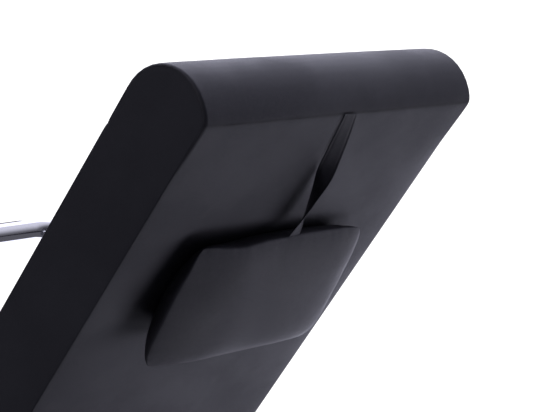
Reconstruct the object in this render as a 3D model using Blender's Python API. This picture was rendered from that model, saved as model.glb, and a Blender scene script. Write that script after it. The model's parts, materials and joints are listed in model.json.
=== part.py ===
"""Massage couch: a padded slab bent into leg, seat and back rests on two tube legs.

A neck pillow hangs on a strap sewn into the seam at the head, and four vibration motors sit
under the deck boards. Units are metres and radians, +Z is up, X runs across the couch, the head
is at +Y, and left means -X, as seen from the foot.
"""

import math
from collections import namedtuple

import bmesh
import bpy
from mathutils import Matrix, Vector

# The padded slab: its centre line runs from the foot, over the knee, through the seat, up the back.
WIDTH = 0.55
SLAB = 0.13
CALF_LENGTH = 0.50
THIGH_LENGTH = 0.46
BACK_LENGTH = 0.84
CALF_ANGLE = math.radians(28)
THIGH_ANGLE = math.radians(-15)
BACK_ANGLE = math.radians(42)
KNEE_RADIUS = 0.17
VALLEY_RADIUS = 0.20
END_RADIUS = 0.0725
EDGE_RADIUS = 0.011
FOOT_CLEARANCE = 0.045

# Layers of the slab, and the clearance that touching pieces keep.
GAP = 0.0003
COVER = 0.002
FOAM = 0.045
DECK = 0.009
UNDER_PAD = 0.010
RIB = 0.018
END_PAD = 0.085
WRAP_REACH = 0.06

# Cross rails between the ribs.
RAIL_HEIGHT = 0.042
RAIL_DEPTH = 0.030
LEG_RAIL_DEPTH = 0.080
RAIL_MARGIN = 0.005
FRONT_LEG_FROM_KNEE = 0.15
REAR_LEG_FROM_SEAT = 0.20

# Tube legs, their plates, bolts and floor pads.
LEG_TUBE_RADIUS = 0.016
LEG_SPREAD = 0.38
LEG_BEND = 0.060
FRONT_LEG_SPLAY = -0.02
REAR_LEG_SPLAY = 0.11
PLATE_WIDTH = 0.090
PLATE_LENGTH = 0.064
PLATE = 0.005
BLOCK_WIDTH = 0.120
BOLT_PITCH = 0.060
BOLT_RADIUS = 0.004
BOLT_HEAD_RADIUS = 0.007
BOLT_HEAD_HEIGHT = 0.0045
BOLT_LENGTH = 0.060
PAD_LENGTH = 0.044
PAD_WIDTH = 0.030
PAD_SOLE = 0.008
PAD_RISE = 0.007

# Vibration motors.
HOUSING_RADIUS = 0.034
HOUSING_DEPTH = 0.038
HOUSING_WALL = 0.0025
HOUSING_FLANGE = 0.006
MOTOR_RADIUS = 0.0135
MOTOR_HEIGHT = 0.022
SHAFT_RADIUS = 0.002
SHAFT_GRIP = 0.008
WEIGHT_RADIUS = 0.024
WEIGHT_HUB = 0.005
WEIGHT_HEIGHT = 0.008
WEIGHT_DROP = 0.0012

# Control box, sockets and wires.
BOX_WIDTH = 0.090
BOX_HEIGHT = 0.032
BOX_WALL = 0.002
BOX_MARGIN = 0.015
BOARD = 0.0016
SOCKET_PITCH = 0.040
SOCKET_FLANGE = 0.0015
SOCKET_LIP = 0.003
SOCKET_DEPTH = 0.012
INLET_SIZE = (0.024, 0.020)
INLET_MOUTH = (0.016, 0.014)
HANDSET_SIZE = (0.020, 0.020)
HANDSET_MOUTH = (0.014, 0.014)
WIRE_RADIUS = 0.003
WIRE_CLEARANCE = 0.018

# Neck pillow and its strap.
PILLOW_WIDTH = 0.356
PILLOW_HEIGHT = 0.194
PILLOW_CROWN = 0.0246
PILLOW_BELLY = 0.060
PILLOW_SEAM_TOP = 0.023
PILLOW_SEAM_BOTTOM = 0.047
PILLOW_PULL = 0.001
PILLOW_ROUND = (0.084, 0.050)
PILLOW_FRONT_PROFILE = (2.4, 0.75)
PILLOW_BACK_PROFILE = (2.4, 0.85)
PILLOW_SKIN = 0.0015
PILLOW_EASE = 0.003
PILLOW_OFFSET = -0.005
PILLOW_TURN = math.radians(-1.1)
STRAP_WIDTH = 0.024
STRAP = 0.0016
STRAP_DROP = 0.194
STRAP_TWIST = math.pi
STRAP_TWIST_DELAY = 1.1
STRAP_STITCH = 0.0008

# Facets.
ARC_STEPS = 11
END_STEPS = 8
EDGE_STEPS = 3
ROUND_SIDES = 20
SMALL_SIDES = 12
WIRE_SIDES = 8
PILLOW_CELLS = (14, 10)
STRAP_CELLS = (4, 30)

HALF = SLAB / 2
ARC_HEIGHT = END_RADIUS - HALF
FOAM_TOP = COVER + GAP
FOAM_BOTTOM = FOAM_TOP + FOAM
DECK_TOP = FOAM_BOTTOM + GAP
DECK_BOTTOM = DECK_TOP + DECK
RIB_TOP = DECK_BOTTOM + GAP
UNDER_PAD_BOTTOM = SLAB - COVER - GAP
UNDER_PAD_TOP = UNDER_PAD_BOTTOM - UNDER_PAD
RIB_BOTTOM = UNDER_PAD_TOP - GAP
RAIL_BOTTOM = RIB_TOP + RAIL_HEIGHT
INNER_HALF = WIDTH / 2 - COVER - GAP
RIB_OUTER = INNER_HALF
RIB_INNER = RIB_OUTER - RIB
RAIL_HALF = RIB_INNER - GAP
PAD_PLACE = LEG_SPREAD / 2 - LEG_BEND - PAD_LENGTH / 2
PAD_PLACES = (-PAD_PLACE, PAD_PLACE)

FINISHES = {
    "leatherette": ((0.020, 0.020, 0.024), 0.45, 0.0),
    "foam": ((0.80, 0.74, 0.52), 0.95, 0.0),
    "fibre_fill": ((0.86, 0.86, 0.84), 0.95, 0.0),
    "plywood": ((0.62, 0.45, 0.27), 0.70, 0.0),
    "pine": ((0.74, 0.58, 0.36), 0.70, 0.0),
    "zinc_steel": ((0.62, 0.62, 0.64), 0.35, 1.0),
    "chrome": ((0.80, 0.80, 0.82), 0.08, 1.0),
    "black_plastic": ((0.03, 0.03, 0.032), 0.50, 0.0),
    "circuit_board": ((0.03, 0.20, 0.08), 0.45, 0.0),
    "wire": ((0.05, 0.05, 0.055), 0.55, 0.0),
}

Run = namedtuple("Run", "start length point angle turn")


def heading_vector(angle):
    return Vector((math.cos(angle), math.sin(angle)))


def normal_vector(angle):
    return Vector((-math.sin(angle), math.cos(angle)))


def along(run, distance):
    """Point and heading on a run of the centre line, at a distance from its start."""
    if not run.turn:
        return run.point + heading_vector(run.angle) * distance, run.angle
    angle = run.angle + run.turn * distance / run.length
    radius = run.length / run.turn
    centre = run.point + normal_vector(run.angle) * radius
    return centre - normal_vector(angle) * radius, angle


def lay_track(start):
    """The centre line's straight runs and bends, foot to head, from a start point in (y, z)."""
    knee_turn = THIGH_ANGLE - CALF_ANGLE
    valley_turn = BACK_ANGLE - THIGH_ANGLE
    knee_cut = KNEE_RADIUS * math.tan(abs(knee_turn) / 2)
    valley_cut = VALLEY_RADIUS * math.tan(abs(valley_turn) / 2)
    plan = [
        (CALF_LENGTH - knee_cut, 0.0),
        (KNEE_RADIUS * abs(knee_turn), knee_turn),
        (THIGH_LENGTH - knee_cut - valley_cut, 0.0),
        (VALLEY_RADIUS * abs(valley_turn), valley_turn),
        (BACK_LENGTH - valley_cut, 0.0),
    ]
    runs = []
    station, point, angle = 0.0, Vector(start), CALF_ANGLE
    for length, turn in plan:
        run = Run(station, length, point, angle, turn)
        runs.append(run)
        point, angle = along(run, length)
        station += length
    return runs


def place(station, height):
    """The (y, z) of a point at a station on the centre line and a height above it."""
    run = next((r for r in reversed(RUNS) if station >= r.start), RUNS[0])
    point, angle = along(run, station - run.start)
    return point + normal_vector(angle) * height


def world(x, station, height):
    y, z = place(station, height)
    return Vector((x, y, z))


def slope(station):
    """The centre line's angle above the floor at a station."""
    run = next((r for r in reversed(RUNS) if station >= r.start), RUNS[0])
    return along(run, station - run.start)[1]


def breaks():
    """Every station where the centre line changes direction, with the steps round its bends."""
    found = []
    for run in RUNS:
        steps = ARC_STEPS if run.turn else 1
        found += [run.start + run.length * k / steps for k in range(steps)]
    return found[1:]


def stops(start, end):
    """Stations from start to end, with the breaks between them."""
    return [start, *[s for s in BREAKS if start + GAP < s < end - GAP], end]


def crease(inset):
    """Angle round an end's arc at which a skin set in by inset meets the lying face."""
    return math.asin((HALF - inset - ARC_HEIGHT) / (END_RADIUS - inset))


def end_place(head, inset, angle):
    """The (y, z) of a point on the round end, at an angle from the slab's own direction."""
    radius = END_RADIUS - inset
    reach = END_RADIUS - radius * math.cos(angle)
    height = ARC_HEIGHT + radius * math.sin(angle)
    return place(LENGTH - reach if head else reach, height)


def seam_station(head, inset, back_off=0.0):
    """Station where the lying face ends, at the seam with the round end."""
    reach = END_RADIUS - (END_RADIUS - inset) * math.cos(crease(inset)) + back_off
    return LENGTH - reach if head else reach


def end_arc(head, inset, seam_gap=0.0):
    """Points round an end from the underside to the seam."""
    low, high = -math.pi / 2, crease(inset) - seam_gap / END_RADIUS
    angles = [low + (high - low) * k / END_STEPS for k in range(END_STEPS + 1)]
    return [end_place(head, inset, a) for a in angles]


def outline(inset):
    """The slab's whole outline in (y, z), set in by inset: face, foot end, underside, head end."""
    face = stops(seam_station(False, inset), seam_station(True, inset))[1:-1]
    under = stops(END_RADIUS, LENGTH - END_RADIUS)[1:-1]
    loop = [place(s, HALF - inset) for s in reversed(face)]
    loop += reversed(end_arc(False, inset))
    loop += [place(s, inset - HALF) for s in under]
    loop += end_arc(True, inset)
    return loop


def stand_on_floor():
    """Start point of the centre line that centres the slab on Y and clears the floor at the foot."""
    loop = outline(0.0)
    middle = (min(p.x for p in loop) + max(p.x for p in loop)) / 2
    lowest = min(p.y for p in loop)
    return -middle, FOOT_CLEARANCE - lowest


RUNS = lay_track((0.0, 0.0))
LENGTH = RUNS[-1].start + RUNS[-1].length
BREAKS = breaks()
RUNS = lay_track(stand_on_floor())


# Solids from rings and turned profiles.


def finish(name):
    """The material of a finish, made once."""
    found = bpy.data.materials.get(name)
    if found:
        return found
    colour, roughness, metallic = FINISHES[name]
    made = bpy.data.materials.new(name)
    made.use_nodes = True
    shader = made.node_tree.nodes["Principled BSDF"]
    shader.inputs["Base Color"].default_value = (*colour, 1.0)
    shader.inputs["Roughness"].default_value = roughness
    shader.inputs["Metallic"].default_value = metallic
    return made


def loft(rings, thin=False):
    """Points and faces of a solid skinned over equal rings.

    A thin section, whose second half runs back along its first, is capped with a strip of faces.
    """
    count = len(rings[0])
    verts = [p for ring in rings for p in ring]
    faces = []
    for k in range(len(rings) - 1):
        for j in range(count):
            a = k * count + j
            b = k * count + (j + 1) % count
            faces.append((a, b, b + count, a + count))
    for base in (0, (len(rings) - 1) * count):
        if thin:
            for j in range(count // 2 - 1):
                faces.append((base + j, base + j + 1, base + count - 2 - j, base + count - 1 - j))
        else:
            faces.append(tuple(range(base, base + count)))
    return verts, faces


def revolve(profile, sides=ROUND_SIDES):
    """Points and faces of a solid turned about Z from (radius, height) pairs.

    A profile that starts and ends on the axis closes there, and any other closes on itself.
    """
    poles = profile[0][0] == 0
    turned = profile[1:-1] if poles else profile
    turns = [2 * math.pi * k / sides for k in range(sides)]
    verts = [(r * math.cos(a), r * math.sin(a), z) for r, z in turned for a in turns]
    faces = []
    rings = len(turned)
    for i in range(rings - 1 if poles else rings):
        for k in range(sides):
            a, b = i * sides + k, i * sides + (k + 1) % sides
            c, d = ((i + 1) % rings) * sides + (k + 1) % sides, ((i + 1) % rings) * sides + k
            faces.append((a, b, c, d))
    if poles:
        last = (rings - 1) * sides
        top, bottom = len(verts), len(verts) + 1
        verts += [(0, 0, profile[0][1]), (0, 0, profile[-1][1])]
        for k in range(sides):
            faces.append((top, k, (k + 1) % sides))
            faces.append((bottom, last + (k + 1) % sides, last + k))
    return verts, faces


def moved(shape, matrix):
    """A shape's points and faces, carried by a matrix."""
    verts, faces = shape
    return [tuple(matrix @ Vector(v)) for v in verts], faces


def gathered(shapes):
    """Several separate shapes as one list of points and faces."""
    verts, faces = [], []
    for more_verts, more_faces in shapes:
        base = len(verts)
        verts += more_verts
        faces += [tuple(base + i for i in face) for face in more_faces]
    return verts, faces


def new_mesh(name, shape):
    mesh = bpy.data.meshes.new(name)
    mesh.from_pydata([tuple(v) for v in shape[0]], [], shape[1])
    shaped = bmesh.new()
    shaped.from_mesh(mesh)
    bmesh.ops.recalc_face_normals(shaped, faces=shaped.faces)
    if shaped.calc_volume(signed=True) < 0:
        bmesh.ops.reverse_faces(shaped, faces=shaped.faces)
    shaped.to_mesh(mesh)
    shaped.free()
    return mesh


def add(name, shape, finish_name, parent=None):
    """A named object from points and faces, or from a mesh that others share."""
    mesh = shape if isinstance(shape, bpy.types.Mesh) else new_mesh(name, shape)
    obj = bpy.data.objects.new(name, mesh)
    bpy.context.scene.collection.objects.link(obj)
    obj.parent = parent
    if not mesh.materials:
        mesh.materials.append(finish(finish_name))
    mesh.shade_smooth()
    mesh.set_sharp_from_angle(angle=math.radians(35))
    return obj


def add_empty(name, location, rotation, parent=None):
    empty = bpy.data.objects.new(name, None)
    bpy.context.scene.collection.objects.link(empty)
    empty.parent = parent
    empty.location = location
    empty.rotation_euler = rotation
    return empty


def cutter(name, shape):
    """A hidden object that a Boolean uses."""
    obj = bpy.data.objects.new(name, new_mesh(name, shape))
    bpy.context.scene.collection.objects.link(obj)
    obj.hide_render = True
    obj.display_type = "WIRE"
    return obj


def boolean(obj, operation, other):
    step = obj.modifiers.new(operation.lower(), "BOOLEAN")
    step.operation = operation
    step.solver = "EXACT"
    step.object = other


def stacked(levels):
    """A solid from rectangles (half width, half length, height), capped at the first and last."""
    corners = ((-1, -1), (1, -1), (1, 1), (-1, 1))
    return loft([[(sx * hx, sy * hy, z) for sx, sy in corners] for hx, hy, z in levels])


def tube(points, radius, sides, across):
    """A round bar along points that lie in the plane square to across."""
    side = Vector(across).normalized()
    rings = []
    for k, point in enumerate(points):
        before, after = points[max(k - 1, 0)], points[min(k + 1, len(points) - 1)]
        up = side.cross((after - before).normalized())
        arm = after - point if k == 0 else point - before
        stretch = 1 / max((after - before).normalized().dot(arm.normalized()), 0.5)
        turns = [2 * math.pi * j / sides for j in range(sides)]
        rings.append([point + side * (radius * math.cos(a)) + up * (radius * stretch * math.sin(a))
                      for a in turns])
    return loft(rings)


def frame_at(x, station, height):
    """Matrix of the slab's own axes at a station: X across, Y towards the head, Z out of the face."""
    return Matrix.Translation(world(x, station, height)) @ Matrix.Rotation(slope(station), 4, "X")


# Layers that follow the slab.


def rounded_top(half_width, radius, top):
    """Left to right (x, inset) points over a top with rounded edges."""
    corner = [math.pi / 2 * k / EDGE_STEPS for k in range(EDGE_STEPS + 1)]
    left = [(-half_width + radius * (1 - math.cos(a)), top + radius * (1 - math.sin(a)))
            for a in corner]
    return left + [(-x, inset) for x, inset in reversed(left)]


def box_section(x0, x1, top, bottom):
    return [(x0, bottom), (x0, top), (x1, top), (x1, bottom)]


def slab_piece(section, start, end):
    """A shape that follows the slab between two stations, from an (x, inset) section."""
    return loft([[world(x, s, HALF - inset) for x, inset in section] for s in stops(start, end)])


def cover_section():
    """Thin (x, inset) section of the leatherette across the slab, turned down at both edges."""
    outer = rounded_top(WIDTH / 2, EDGE_RADIUS, 0.0)
    inner = rounded_top(WIDTH / 2 - COVER, EDGE_RADIUS - COVER, COVER)
    return outer + inner[::-1]


def panel(rows):
    """A leatherette panel: each row gives the (y, z) of a skin at an inset, along its length."""
    return loft([[(x, *row(inset)) for x, inset in cover_section()] for row in rows], thin=True)


def wrap_rows(head):
    """Rows of an end's wrap, from the underside round to the seam."""
    reach = END_RADIUS + WRAP_REACH
    under_station = LENGTH - reach if head else reach
    rows = [lambda inset: place(under_station, inset - HALF)]
    for k in range(END_STEPS + 1):
        rows.append(lambda inset, k=k: end_arc(head, inset, GAP)[k])
    return rows


def face_rows():
    """Rows of the lying face, from the foot's seam to the head's."""
    middle = stops(seam_station(False, 0.0), seam_station(True, 0.0))[1:-1]
    rows = [lambda inset: place(seam_station(False, inset, GAP), HALF - inset)]
    for s in middle:
        rows.append(lambda inset, s=s: place(s, HALF - inset))
    rows.append(lambda inset: place(seam_station(True, inset, GAP), HALF - inset))
    return rows


def under_rows():
    """Rows of the underside's cover, between the two wraps."""
    reach = END_RADIUS + WRAP_REACH + GAP
    return [lambda inset, s=s: place(s, inset - HALF) for s in stops(reach, LENGTH - reach)]


def make_covers(socket_holes, bolt_holes):
    add("face_cover", panel(face_rows()), "leatherette")
    add("head_wrap_cover", panel(wrap_rows(True)), "leatherette")
    add("foot_wrap_cover", panel(wrap_rows(False)), "leatherette")
    under = add("underside_cover", panel(under_rows()), "leatherette")
    boolean(under, "DIFFERENCE", socket_holes)
    boolean(under, "DIFFERENCE", bolt_holes)
    loop = outline(EDGE_RADIUS + GAP)
    for name, side in (("left_side_cover", -1), ("right_side_cover", 1)):
        faces = [side * (WIDTH / 2 - COVER), side * WIDTH / 2]
        add(name, loft([[(x, *p) for p in loop] for x in faces]), "leatherette")


def end_roll(head):
    """Foam that fills a round end, from its wrap back to the frame."""
    radius = EDGE_RADIUS - COVER - GAP
    flat = LENGTH - END_PAD if head else END_PAD
    rings = []
    for x, inset in rounded_top(INNER_HALF, radius, FOAM_TOP):
        arc = end_arc(head, inset)
        rings.append([(x, *p) for p in [place(flat, inset - HALF), *arc, place(flat, HALF - inset)]])
    return loft(rings)


def make_padding(socket_holes, bolt_holes):
    radius = EDGE_RADIUS - COVER - GAP
    top = rounded_top(INNER_HALF, radius, FOAM_TOP)
    section = [(-INNER_HALF, FOAM_BOTTOM), *top, (INNER_HALF, FOAM_BOTTOM)]
    valley = RUNS[4].start
    spans = {
        "leg_foam": (END_PAD + GAP, RUNS[2].start - GAP / 2),
        "seat_foam": (RUNS[2].start + GAP / 2, valley - GAP / 2),
        "back_foam": (valley + GAP / 2, LENGTH - END_PAD - GAP),
    }
    for name, (start, end) in spans.items():
        add(name, slab_piece(section, start, end), "foam")
    add("head_end_roll", end_roll(True), "foam")
    add("foot_end_roll", end_roll(False), "foam")
    start, end = END_PAD + GAP, LENGTH - END_PAD - GAP
    edge = rounded_top(INNER_HALF, radius, FOAM_TOP)
    flipped = [(x, SLAB - inset) for x, inset in edge]
    section = [(-INNER_HALF, UNDER_PAD_TOP), *flipped, (INNER_HALF, UNDER_PAD_TOP)]
    under = add("underside_padding", slab_piece(section, start, end), "foam")
    boolean(under, "DIFFERENCE", socket_holes)
    boolean(under, "DIFFERENCE", bolt_holes)


# Wooden frame.


def rail_spans():
    """Start and end stations of each cross rail."""
    calf, knee, thigh, valley, back = RUNS
    front = CALF_LENGTH - FRONT_LEG_FROM_KNEE
    rear = back.start + REAR_LEG_FROM_SEAT
    first = END_PAD + 2 * GAP
    last = LENGTH - END_PAD - 2 * GAP
    middle = (rear + LEG_RAIL_DEPTH / 2 + last - RAIL_DEPTH) / 2
    seat = valley.start - RAIL_MARGIN
    lumbar = back.start + RAIL_MARGIN
    knee_start = thigh.start + RAIL_MARGIN
    return {
        "foot_rail": (first, first + RAIL_DEPTH),
        "front_leg_rail": (front - LEG_RAIL_DEPTH / 2, front + LEG_RAIL_DEPTH / 2),
        "knee_rail": (knee_start, knee_start + RAIL_DEPTH),
        "seat_rail": (seat - RAIL_DEPTH, seat),
        "lumbar_rail": (lumbar, lumbar + RAIL_DEPTH),
        "rear_leg_rail": (rear - LEG_RAIL_DEPTH / 2, rear + LEG_RAIL_DEPTH / 2),
        "shoulder_rail": (middle - RAIL_DEPTH / 2, middle + RAIL_DEPTH / 2),
        "head_rail": (last - RAIL_DEPTH, last),
    }


def middle_of(name):
    return sum(RAILS[name]) / 2


def bay(lower, upper):
    """Middle station of the space between two rails."""
    return (RAILS[lower][1] + RAILS[upper][0]) / 2


def make_frame(bolt_holes):
    """Two ribs, the deck boards on them, and the rails glued between them."""
    start, end = END_PAD + GAP, LENGTH - END_PAD - GAP
    for name, side in (("left_rib", -1), ("right_rib", 1)):
        x0, x1 = sorted((side * RIB_INNER, side * RIB_OUTER))
        add(name, slab_piece(box_section(x0, x1, RIB_TOP, RIB_BOTTOM), start, end), "plywood")
    section = box_section(-RIB_OUTER, RIB_OUTER, DECK_TOP, DECK_BOTTOM)
    decks = {
        "leg_deck": (start, RUNS[2].start - GAP / 2),
        "seat_deck": (RUNS[2].start + GAP / 2, RUNS[4].start - GAP / 2),
        "back_deck": (RUNS[4].start + GAP / 2, end),
    }
    for name, (deck_start, deck_end) in decks.items():
        add(name, slab_piece(section, deck_start, deck_end), "plywood")
    for name, (rail_start, rail_end) in RAILS.items():
        section = leg_rail_section() if name in LEG_RAILS else rail_section()
        rail = add(name, slab_piece(section, rail_start, rail_end), "pine")
        if name in LEG_RAILS:
            boolean(rail, "DIFFERENCE", bolt_holes)


def rail_section():
    return box_section(-RAIL_HALF, RAIL_HALF, RIB_TOP, RAIL_BOTTOM)


def leg_rail_section():
    """A rail that reaches down to the underside at its ends, and leaves the middle open for wires."""
    inner = RAIL_HALF - BLOCK_WIDTH
    return [
        (-RAIL_HALF, RIB_BOTTOM),
        (-RAIL_HALF, RIB_TOP),
        (RAIL_HALF, RIB_TOP),
        (RAIL_HALF, RIB_BOTTOM),
        (inner, RIB_BOTTOM),
        (inner, RAIL_BOTTOM),
        (-inner, RAIL_BOTTOM),
        (-inner, RIB_BOTTOM),
    ]


# Tube legs and what holds them.


def bolt_spots():
    """Matrices on the slab's underside, one for each leg bolt, with Z into the couch."""
    spots = []
    for name in LEG_RAILS:
        for side in (-1, 1):
            for step in (-1, 1):
                x = side * LEG_SPREAD / 2 + step * BOLT_PITCH / 2
                spots.append(frame_at(x, middle_of(name), -HALF))
    return spots


def bolt_hole_shapes():
    """Holes for the leg bolts, from below the plates up past the bolts' tips."""
    radius = BOLT_RADIUS + GAP
    top = BOLT_LENGTH - PLATE
    bottom = -PLATE - BOLT_HEAD_HEIGHT
    profile = [(0, top), (radius, top), (radius, bottom), (0, bottom)]
    return gathered([moved(revolve(profile, SMALL_SIDES), spot) for spot in bolt_spots()])


def make_leg_bolts():
    """Bolts through the legs' plates and the underside into the leg rails."""
    under = -PLATE - 2 * GAP
    bolt = new_mesh("leg_bolt", revolve([
        (0, under + BOLT_LENGTH),
        (BOLT_RADIUS, under + BOLT_LENGTH),
        (BOLT_RADIUS, under),
        (BOLT_HEAD_RADIUS, under),
        (BOLT_HEAD_RADIUS, under - BOLT_HEAD_HEIGHT),
        (0, under - BOLT_HEAD_HEIGHT),
    ], SMALL_SIDES))
    for k, spot in enumerate(bolt_spots()):
        obj = add(f"leg_bolt_{k + 1}", bolt, "zinc_steel")
        obj.matrix_world = spot


def leg_path(name, splay):
    """Points along a leg's tube: down from one plate, over the floor and up to the other."""
    foot = Vector((0, world(0, middle_of(name), -HALF).y + splay, PAD_SOLE + LEG_TUBE_RADIUS))
    top = world(0, middle_of(name), -HALF)
    rise = (top - foot).normalized()
    half = LEG_SPREAD / 2
    across = Vector((1, 0, 0))
    corner = foot - across * half
    centre = corner + (across + rise) * LEG_BEND
    bend = [math.pi / 2 * k / END_STEPS for k in range(END_STEPS + 1)]
    left = [top + rise * PLATE_LENGTH - across * half]
    left += [centre - across * (LEG_BEND * math.cos(a)) - rise * (LEG_BEND * math.sin(a)) for a in bend]
    right = [Vector((-p.x, p.y, p.z)) for p in reversed(left)]
    return left + right, across.cross(rise)


def make_leg(name, rail, splay, bolt_holes):
    """A bent tube with a plate on each end, cut to lie under the couch."""
    points, across = leg_path(rail, splay)
    shape = new_mesh(name, tube(points, LEG_TUBE_RADIUS, ROUND_SIDES, across))
    seat = frame_at(0, middle_of(rail), -HALF - GAP)
    cut = bmesh.new()
    cut.from_mesh(shape)
    geometry = [*cut.verts, *cut.edges, *cut.faces]
    middle = seat @ Vector((0, 0, -PLATE / 2))
    out = seat.to_3x3() @ Vector((0, 0, 1))
    bmesh.ops.bisect_plane(cut, geom=geometry, plane_co=middle, plane_no=out, clear_outer=True)
    bmesh.ops.holes_fill(cut, edges=[e for e in cut.edges if e.is_boundary])
    bmesh.ops.recalc_face_normals(cut, faces=cut.faces)
    cut.to_mesh(shape)
    cut.free()
    leg = add(name, shape, "chrome")
    for side in (-1, 1):
        levels = [(PLATE_WIDTH / 2, PLATE_LENGTH / 2, -PLATE), (PLATE_WIDTH / 2, PLATE_LENGTH / 2, 0.0)]
        spot = frame_at(side * LEG_SPREAD / 2, middle_of(rail), -HALF - GAP)
        boolean(leg, "UNION", cutter(f"{name}_plate", moved(stacked(levels), spot)))
    boolean(leg, "DIFFERENCE", bolt_holes)
    return Vector((0, points[len(points) // 2].y, points[len(points) // 2].z))


def make_legs(bolt_holes):
    """Both legs, and the pads that they stand on."""
    floor_bars = [
        make_leg("front_leg_frame", "front_leg_rail", FRONT_LEG_SPLAY, bolt_holes),
        make_leg("rear_leg_frame", "rear_leg_rail", REAR_LEG_SPLAY, bolt_holes),
    ]
    half_x, half_y, level = PAD_LENGTH / 2, PAD_WIDTH / 2, PAD_SOLE + PAD_RISE
    block = stacked([(half_x, half_y, 0.0), (half_x, half_y, level)])
    radius = LEG_TUBE_RADIUS + GAP
    groove = [(0, PAD_LENGTH), (radius, PAD_LENGTH), (radius, -PAD_LENGTH), (0, -PAD_LENGTH)]
    for row, bar in zip(("front", "rear"), floor_bars):
        spot = Matrix.Translation(bar) @ Matrix.Rotation(math.pi / 2, 4, "Y")
        bar_shape = [moved(revolve(groove), Matrix.Translation((x, 0, 0)) @ spot) for x in PAD_PLACES]
        bar_cutter = cutter(f"{row}_pad_grooves", gathered(bar_shape))
        for side, x in zip(("left", "right"), PAD_PLACES):
            pad = add(f"{row}_{side}_pad", moved(block, Matrix.Translation((x, bar.y, 0.0))), "black_plastic")
            boolean(pad, "DIFFERENCE", bar_cutter)


# Vibration motors under the deck boards.


def eccentric_shape():
    """A half disc on a hub, with its flat side through the axis and its shaft above it."""
    turns = [math.pi * k / SMALL_SIDES for k in range(SMALL_SIDES + 1)]
    outer = [(WEIGHT_RADIUS * math.cos(a), WEIGHT_RADIUS * math.sin(a)) for a in turns]
    hub = [(-WEIGHT_HUB * math.cos(a), -WEIGHT_HUB * math.sin(a)) for a in turns]
    ring = outer + hub
    return loft([[(x, y, z) for x, y in ring] for z in (-WEIGHT_HEIGHT, 0.0)])


def eccentric_mesh():
    """The weight and its shaft joined, with the weight's top at zero."""
    weight = cutter("eccentric_weight", eccentric_shape())
    top = WEIGHT_DROP + SHAFT_GRIP
    profile = [
        (0, top),
        (SHAFT_RADIUS, top),
        (SHAFT_RADIUS, -WEIGHT_HEIGHT / 2),
        (0, -WEIGHT_HEIGHT / 2),
    ]
    boolean(weight, "UNION", cutter("eccentric_shaft", revolve(profile, SMALL_SIDES)))
    graph = bpy.context.evaluated_depsgraph_get()
    joined = bpy.data.meshes.new_from_object(weight.evaluated_get(graph))
    joined.name = "eccentric"
    return joined


def make_motors():
    """Motor units, each under a deck in the middle of a bay, with its weight hanging downhill."""
    flange = HOUSING_RADIUS + HOUSING_FLANGE
    seat = -GAP - HOUSING_WALL
    housing = new_mesh("motor_housing", revolve([
        (0, -GAP),
        (flange, -GAP),
        (flange, seat),
        (HOUSING_RADIUS, seat),
        (HOUSING_RADIUS, -HOUSING_DEPTH),
        (HOUSING_RADIUS - HOUSING_WALL, -HOUSING_DEPTH),
        (HOUSING_RADIUS - HOUSING_WALL, seat),
        (0, seat),
    ]))
    top = seat - GAP
    bottom = top - MOTOR_HEIGHT
    bore = SHAFT_RADIUS + GAP
    bore_top = bottom + SHAFT_GRIP + GAP
    motor = new_mesh("motor", revolve([
        (0, top),
        (MOTOR_RADIUS, top),
        (MOTOR_RADIUS, bottom),
        (bore, bottom),
        (bore, bore_top),
        (0, bore_top),
    ]))
    eccentric = eccentric_mesh()
    for name, station in MOTORS.items():
        angle = slope(station)
        seat_at = add_empty(f"{name}_seat", world(0, station, HALF - DECK_BOTTOM), (angle, 0, 0))
        add(f"{name}_motor_housing", housing, "black_plastic", seat_at)
        add(f"{name}_motor", motor, "zinc_steel", seat_at)
        weight = add(f"{name}_eccentric", eccentric, "zinc_steel", seat_at)
        weight.location.z = bottom - WEIGHT_DROP
        weight.rotation_euler.z = math.pi if angle > 0 else 0.0


# Control box, sockets and wires.


def box_place():
    """Matrix at the middle of the control box's floor, on the inside of the right rib."""
    station = bay("lumbar_rail", "rear_leg_rail")
    return frame_at(RIB_INNER - GAP - BOX_WIDTH / 2, station, HALF - RIB_BOTTOM)


def box_half_length():
    return (RAILS["rear_leg_rail"][0] - RAILS["lumbar_rail"][1]) / 2 - BOX_MARGIN


def socket_shape(size, mouth, clearance=0.0):
    """A socket with a flange outside the underside and a blind mouth. Z is zero at the box."""
    half = [d / 2 + clearance for d in size]
    lip = [d + SOCKET_LIP for d in half]
    outside = RIB_BOTTOM - SLAB
    if clearance:
        return stacked([(*half, GAP), (*half, outside - SOCKET_FLANGE)])
    return stacked([
        (*half, -GAP),
        (*half, outside - GAP),
        (*lip, outside - GAP),
        (*lip, outside - GAP - SOCKET_FLANGE),
        (*[d / 2 for d in mouth], outside - GAP - SOCKET_FLANGE),
        (*[d / 2 for d in mouth], outside - GAP - SOCKET_FLANGE + SOCKET_DEPTH),
    ])


def socket_spots():
    spot = box_place()
    return {
        "power_inlet": (spot @ Matrix.Translation((-SOCKET_PITCH / 2, 0, 0)), INLET_SIZE, INLET_MOUTH),
        "handset_socket": (spot @ Matrix.Translation((SOCKET_PITCH / 2, 0, 0)), HANDSET_SIZE, HANDSET_MOUTH),
    }


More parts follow.
